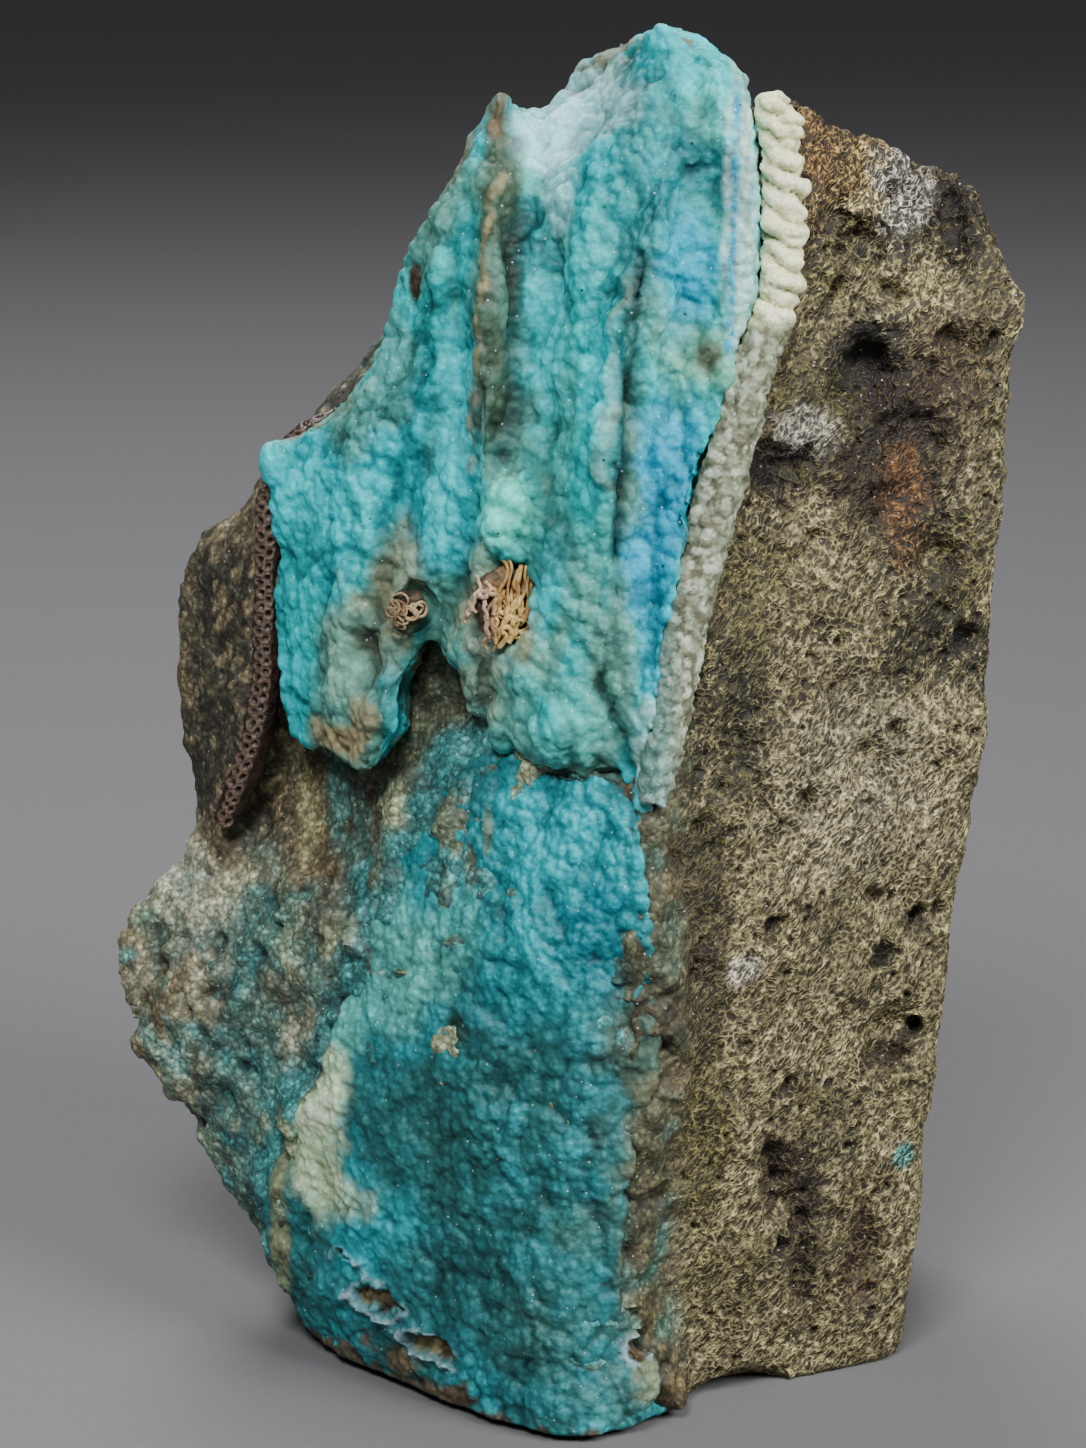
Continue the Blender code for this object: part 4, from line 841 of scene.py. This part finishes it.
    dense = ramp(tree, wall, [(0.24, 2.6), (0.34, 1.15), (0.52, 0.18)])
    airy = ramp(tree, wall, [(0.22, 2.8), (0.31, 1.0), (0.43, 0.08)])
    wallShade = mixColour(tree, "MIX", openPart, dense, airy)
    # grains of random tone, each with painted shade towards its edge
    crumbs = node(tree, "TexVoronoi", {"Vector": place, "Scale": 1500.0}, feature="F1")
    crumbTone = node(tree, "SeparateColor", {"Color": crumbs.outputs["Color"]}).outputs[0]
    crumbShade = mixColour(tree, "MULTIPLY", 1.0,
        ramp(tree, crumbTone, [(0.2, 0.62), (0.6, 0.97), (0.85, 1.5)]),
                           ramp(tree, crumbs.outputs["Distance"], [(0.15, 1.15), (0.6, 0.6)]))
    both = mixColour(tree, "MIX", fibrous, crumbShade, wallShade)
    shade = mixColour(tree, "MULTIPLY", 1.0, tintColour, both)
    grainNoise = node(tree, "TexNoise", {"Vector": place, "Scale": 2600.0, "Detail": 3.0}).outputs["Fac"]
    shade = mixColour(tree, "MULTIPLY", 1.0, shade, ramp(tree, grainNoise, [(0.32, 0.55), (0.68, 1.35)]))
    # painted glints: tiny pale highlights mixed into the colour
    glintCells = node(tree, "TexVoronoi", {"Vector": place, "Scale": 900.0})
    glint = ramp(tree, glintCells.outputs["Distance"], [(0.06, 0.6), (0.1, 0.0)])
    shade = mixColour(tree, "MIX", glint, shade, (0.75, 0.72, 0.62, 1))
    bump = node(tree, "Bump", {"Height": both, "Strength": 0.55, "Distance": 0.00022})
    bump = node(tree, "Bump", {"Height": grainNoise, "Strength": 0.5, "Distance": 0.00012,
        "Normal": bump.outputs[0]})
    shader = node(tree, "BsdfPrincipled", {"Base Color": shade, "Normal": bump.outputs[0], "IOR": 1.5,
                                           "Specular IOR Level": 0.4,
                                           "Roughness": ramp(tree, grainNoise, [(0.3, 0.5), (0.7, 0.8)])})
    node(tree, "OutputMaterial", {"Surface": shader.outputs[0]})
    finishPiece(piece, material, ["matrix_rock"])


# Pale rind: a rope of beads above, a sugary bar below

rindLook = {
    "voxel": 0.28, "rounding": 3, "ropeFoot": 105.0, "beadPitch": 2.1, "beadHeight": 0.5,
    "closeUp": 0.55,             # grows this far towards the crust, to close the gap
    "cream": paint(0.98, 0.98, 0.66), "creamShade": paint(0.48, 0.48, 0.24),
    "ropeGreen": paint(0.50, 0.66, 0.55),
    "beige": paint(0.26, 0.31, 0.205), "beigePale": paint(0.50, 0.56, 0.44),
    "beigeDark": paint(0.109, 0.096, 0.058),
    "turquoise": paint(0.08, 0.36, 0.36),
    "finish": {
        "grainDark": 0.82, "pebbles": 2100.0, "pebbleShade": 0.8, "specks": 0.4,
        "speckColour": (0.12, 0.1, 0.06),
        "glints": 0.4, "bump": 0.4, "roughLow": 0.4, "roughHigh": 0.65, "gloss": 0.35, "depth": 0.25,
        "reach": (1.0, 0.9, 0.7)},
}


def makeRind():
    look = rindLook
    piece = remeshed("pale_rind", "paleRind", look["voxel"], look["rounding"])
    points, normals = readPoints(piece)
    x, y, z = points.T
    rope = step01(z, look["ropeFoot"] - 1.5, look["ropeFoot"] + 0.5)
    around = np.arctan2(y - middleAt(z, y), x - middleAt(z, x)) / (2 * math.pi)
    turn = z / look["beadPitch"] + around * 1.5 + (layeredNoise(points, 3.2, 102, 3) - 0.5) * 1.1
    bead = np.floor(turn).astype(np.int64)
    ownSize = chance(np.stack([bead, bead * 0, bead * 0], axis=1), 106)
    twist = np.abs(np.sin(math.pi * turn)) ** 0.55 * (0.7 + 0.45 * ownSize)
    sugar, owner = beads(warped(points, 1.0, 0.3, 103), 0.85, 104)[:2]
    lumpy = beads(warped(points, 1.5, 0.4, 107), 1.7, 108)[0]
    fine = layeredNoise(points, 0.6, 105, 2) - 0.5
    towardCrust = np.clip(-normals[:, 0], 0, 1) * look["closeUp"]
    relief = rope * ((twist - 0.6) * look["beadHeight"] * 1.7 + (lumpy - 0.7) * 0.28 + fine * 0.3)
    relief += (1 - rope) * ((sugar - 0.4) * 0.4 + fine * 0.6 + (lumpy - 0.7) * 0.15) + towardCrust
    writePoints(piece, points + normals * relief[:, None])
    # rope beads: cream on their crests, with painted shade in the twists between them
    ropeTint = blend(look["creamShade"], look["cream"], step01(twist, 0.15, 0.7))
    ropeTint = blend(ropeTint, look["ropeGreen"], step01(layeredNoise(points, 2.5, 109, 2), 0.55, 0.75) * 0.6)
    barTint = blend(look["beige"], look["beigePale"], step01(owner, 0.55, 0.9))
    barTint = blend(barTint, look["beigeDark"], step01(1 - owner, 0.75, 0.95) * 0.7)
    tint = barTint * (1 - rope)[:, None] + ropeTint * rope[:, None]
    tint = blend(tint, look["turquoise"], (1 - rope) * (1 - step01(x, 10.5, 13)) * 0.5)
    writeColour(piece, "tint", tint)
    finishPiece(piece, crustMaterial("paleRope", look["finish"]), ["pale_rind"])


# Brown vein with its two columns of ring cells

veinLook = {
    "voxel": 0.22, "rounding": 3,
    "pitch": 1.2,                # from one ring down to the next
    "columns": ((-0.85, 0.0), (-0.05, 0.5)),    # place across, and how far down the first ring starts
    "ringRadius": 0.42, "ringWidth": 0.12, "holeRadius": 0.27,
    "dark": paint(0.012, 0.008, 0.006), "brown": paint(0.050, 0.023, 0.016), "ring": paint(0.34, 0.24, 0.17),
    "finish": {
        "grainDark": 0.7, "pebbles": 2000.0, "pebbleShade": 0.7, "specks": 0.2,
        "speckColour": (0.01, 0.008, 0.006),
        "glints": 0.3, "bump": 0.4, "roughLow": 0.3, "roughHigh": 0.55, "gloss": 0.5, "depth": 0.0,
        "reach": (1.0, 0.4, 0.2)},
}


def makeVein():
    look = veinLook
    piece = remeshed("cellular_vein", "cellularVein", look["voxel"], look["rounding"])
    points, normals = readPoints(piece)
    x, z = points[:, 0], points[:, 2]
    across = x - middleAt(z, x)
    pitch = look["pitch"]
    wobbleX, wobbleZ = [(smoothNoise(points, 1.6, 113 + k) - 0.5) * 0.55 for k in range(2)]
    height = np.zeros(len(points))
    ringPlace = np.zeros(len(points))
    for column, shift in look["columns"]:
        down = ((z + wobbleZ) / pitch + shift) % 1.0 - 0.5
        near = np.sqrt((down * pitch) ** 2 + (across + wobbleX - column) ** 2)
        ring = np.exp(-((near - look["ringRadius"]) / look["ringWidth"]) ** 2)
        hole = np.exp(-(near / look["holeRadius"]) ** 2)
        height += ring * 0.16 - hole * 0.42
        ringPlace = np.maximum(ringPlace, ring)
    front = step01(-normals[:, 1], 0.1, 0.5)
    fine = layeredNoise(points, 0.7, 111, 3) - 0.5
    writePoints(piece, points + normals * (height * front + fine * 0.35)[:, None])
    tint = blend(look["brown"], look["dark"], step01(layeredNoise(points, 2, 112, 3), 0.4, 0.7))
    tint = blend(tint, look["ring"], np.clip(ringPlace * front, 0, 1) * 0.8)
    # painted shade in the holes of the ring cells
    tint = blend(tint, look["dark"], np.clip(-height * 2.5, 0, 1) * front)
    writeColour(piece, "tint", tint)
    finishPiece(piece, crustMaterial("veinBrown", look["finish"]), ["cellular_vein"])


# Boxwork nests: open tangles of thin strands and curled walls over a core painted dark as the shade in the
# hollow

nestLook = {
    "tanBoxwork": {
        "node": "tan_boxwork", "seed": 121, "strands": 34, "rings": 8, "thick": (0.13, 0.27),
        "pale": paint(0.80, 0.56, 0.20), "deep": paint(0.32, 0.17, 0.05), "hollow": paint(0.09, 0.055, 0.025),
        "plate": paint(0.62, 0.46, 0.40)},
    "brownBoxwork": {
        "node": "brown_boxwork", "seed": 131, "strands": 0, "rings": 13, "thick": (0.11, 0.17),
        "pale": paint(0.52, 0.38, 0.20), "deep": paint(0.13, 0.07, 0.03), "hollow": paint(0.035, 0.022, 0.012),
        "plate": paint(0.34, 0.25, 0.14)},
}
nestFinish = {
    "grainDark": 0.75, "pebbles": 2400.0, "pebbleShade": 0.8, "specks": 0.0, "speckColour": (0.05, 0.04, 0.02),
    "glints": 0.2, "bump": 0.3, "roughLow": 0.4, "roughHigh": 0.65, "gloss": 0.4, "depth": 0.0,
    "reach": (1.0, 0.6, 0.4)}


def tube(name, path, radius, closed=False):
    curve = bpy.data.curves.new(name, "CURVE")
    curve.dimensions = "3D"
    curve.bevel_depth = radius * mm
    curve.bevel_resolution = 1
    curve.resolution_u = 3
    curve.use_fill_caps = True
    spline = curve.splines.new("NURBS")
    spline.points.add(len(path) - 1)
    for point, at in zip(spline.points, path):
        point.co = (*(np.array(at) * mm), 1)
    spline.use_endpoint_u = not closed
    spline.use_cyclic_u = closed
    spline.order_u = 3
    piece = bpy.data.objects.new(name, curve)
    scene.collection.objects.link(piece)
    only(piece)
    bpy.ops.object.convert(target="MESH")
    return bpy.context.active_object


def makeNest(name):
    look = nestLook[name]
    lo, hi = [np.array(corner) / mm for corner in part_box(look["node"])]
    centre, half = (lo + hi) / 2, (hi - lo) / 2
    random = np.random.default_rng(look["seed"])
    body = remeshed(look["node"], name, 0.35, 2)
    points, normals = readPoints(body)
    lumps = beads(points, 1.3, look["seed"])[0] - 0.6
    writePoints(body, centre + (points - centre) * 0.86 + normals * (lumps * 0.5)[:, None])
    parts = [body]
    for _ in range(look["strands"]):
        across = random.uniform(-0.85, 0.85)
        tall = math.sqrt(1 - across ** 2)
        foot = random.uniform(-0.95, 0.1) * tall
        head = foot + random.uniform(0.5, 1.3) * tall
        path = []
        for share in np.linspace(0, 1, 6):
            up = min(foot + (head - foot) * share, 0.98 * tall)
            side = across + (up * 0.22 + random.uniform(-0.13, 0.13))
            out = math.sqrt(max(0.08, 1 - min(side ** 2 + up ** 2, 0.92))) + random.uniform(-0.05, 0.3)
            path.append(centre + half * (side, -out, up))
        parts.append(tube(name + "Strand", path, random.uniform(*look["thick"])))
    for _ in range(look["rings"]):
        angle, away = random.uniform(0, 2 * math.pi), random.uniform(0.0, 0.8)
        at = np.array([away * math.cos(angle), -math.sqrt(1 - away ** 2) - 0.05, away * math.sin(angle)])
        outward = Vector(at).normalized()
        sideways = outward.cross(Vector((0.2, 0.1, 1))).normalized()
        upward = outward.cross(sideways)
        size, squash = random.uniform(0.45, 0.85), random.uniform(0.55, 1.0)
        path = []
        for turn in np.linspace(0, 2 * math.pi, 9)[:-1]:
            wobble = 1 + random.uniform(-0.22, 0.22)
            offset = (sideways * math.cos(turn) * size * wobble
                      + upward * math.sin(turn) * size * squash * wobble
                      + outward * random.uniform(-0.12, 0.3))
            path.append(centre + half * at + np.array(offset))
        parts.append(tube(name + "Ring", path, random.uniform(*look["thick"]), closed=True))
    counts = [len(part.data.vertices) for part in parts]
    deselectAll()
    for part in parts:
        part.select_set(True)
    bpy.context.view_layer.objects.active = body
    bpy.ops.object.join()
    points, normals = readPoints(body)
    inner = np.arange(len(points)) < counts[0]
    shadeNoise = layeredNoise(points, 1.2, look["seed"] + 9, 2)
    tint = blend(look["pale"], look["deep"], step01(shadeNoise, 0.4, 0.7))
    tint = blend(tint, look["plate"], step01(-(points[:, 0] - centre[0]) / half[0], 0.1, 0.6) * 0.7)
    # the core under the strands is painted dark as the shade inside the nest
    hollow = look["hollow"] + look["deep"] * step01(shadeNoise, 0.5, 0.7)[:, None] * 0.5
    tint = np.where(inner[:, None], hollow, tint)
    writeColour(body, "tint", tint)
    finishPiece(body, crustMaterial(name + "Finish", nestFinish), [look["node"]])


makeCurtain()
makeRock(makeApron())
makeRind()
makeVein()
for nest in nestLook:
    makeNest(nest)


# Floor, light and camera

stageLook = {
    "floorSize": 8.0, "floorColour": (0.148, 0.148, 0.156, 1),
    "lookAt": (0, 0, 0.06),
    # name, place, size, watts, colour
    "lights": (("keyLight", (-0.09, -0.46, 0.60), 0.26, 5.2, (1, 1, 1)),
               ("fillRight", (0.50, -0.36, 0.50), 0.35, 7.2, (1.0, 0.98, 0.95)),
               ("rimBack", (-0.15, 0.45, 0.60), 0.35, 3.5, (1, 1, 1))),
    "roomColour": (0.30, 0.30, 0.31, 1), "roomLight": 0.3,
    "lensLength": 100, "cameraPlace": (0, -0.37885, 0.1639), "cameraTilt": 75,
}

deselectAll()
bpy.ops.mesh.primitive_plane_add(size=stageLook["floorSize"], location=(0, 0, 0))
floor = bpy.context.active_object
floor.name = "paleFloor"
material, tree = newMaterial("paleFloorPaint")
place = node(tree, "TexCoord").outputs["Object"]
grain = node(tree, "TexNoise", {"Vector": place, "Scale": 900.0, "Detail": 2.0}).outputs["Fac"]
shade = mixColour(tree, "MULTIPLY", 1.0, stageLook["floorColour"], ramp(tree, grain, [(0.3, 0.94), (0.7, 1.0)]))
shader = node(tree, "BsdfPrincipled", {"Base Color": shade, "Roughness": 0.7})
node(tree, "OutputMaterial", {"Surface": shader.outputs[0]})
floor.data.materials.append(material)

for name, place, size, watts, shade in stageLook["lights"]:
    lamp = bpy.data.lights.new(name, "AREA")
    lamp.shape = "DISK"
    lamp.size = size
    lamp.energy = watts
    lamp.color = shade
    holder = bpy.data.objects.new(name, lamp)
    scene.collection.objects.link(holder)
    holder.location = place
    holder.rotation_euler = (Vector(stageLook["lookAt"]) - Vector(place)).to_track_quat("-Z", "Y").to_euler()

world = bpy.data.worlds.new("greyRoom")
world.use_nodes = True
background = world.node_tree.nodes["Background"]
background.inputs["Color"].default_value = stageLook["roomColour"]
background.inputs["Strength"].default_value = stageLook["roomLight"]
scene.world = world

lens = bpy.data.cameras.new("photoCamera")
lens.lens = stageLook["lensLength"]
lens.sensor_width = 36
camera = bpy.data.objects.new("photoCamera", lens)
scene.collection.objects.link(camera)
camera.location = stageLook["cameraPlace"]
camera.rotation_euler = (math.radians(stageLook["cameraTilt"]), 0, 0)
scene.camera = camera
print("floor, lights and camera are set")
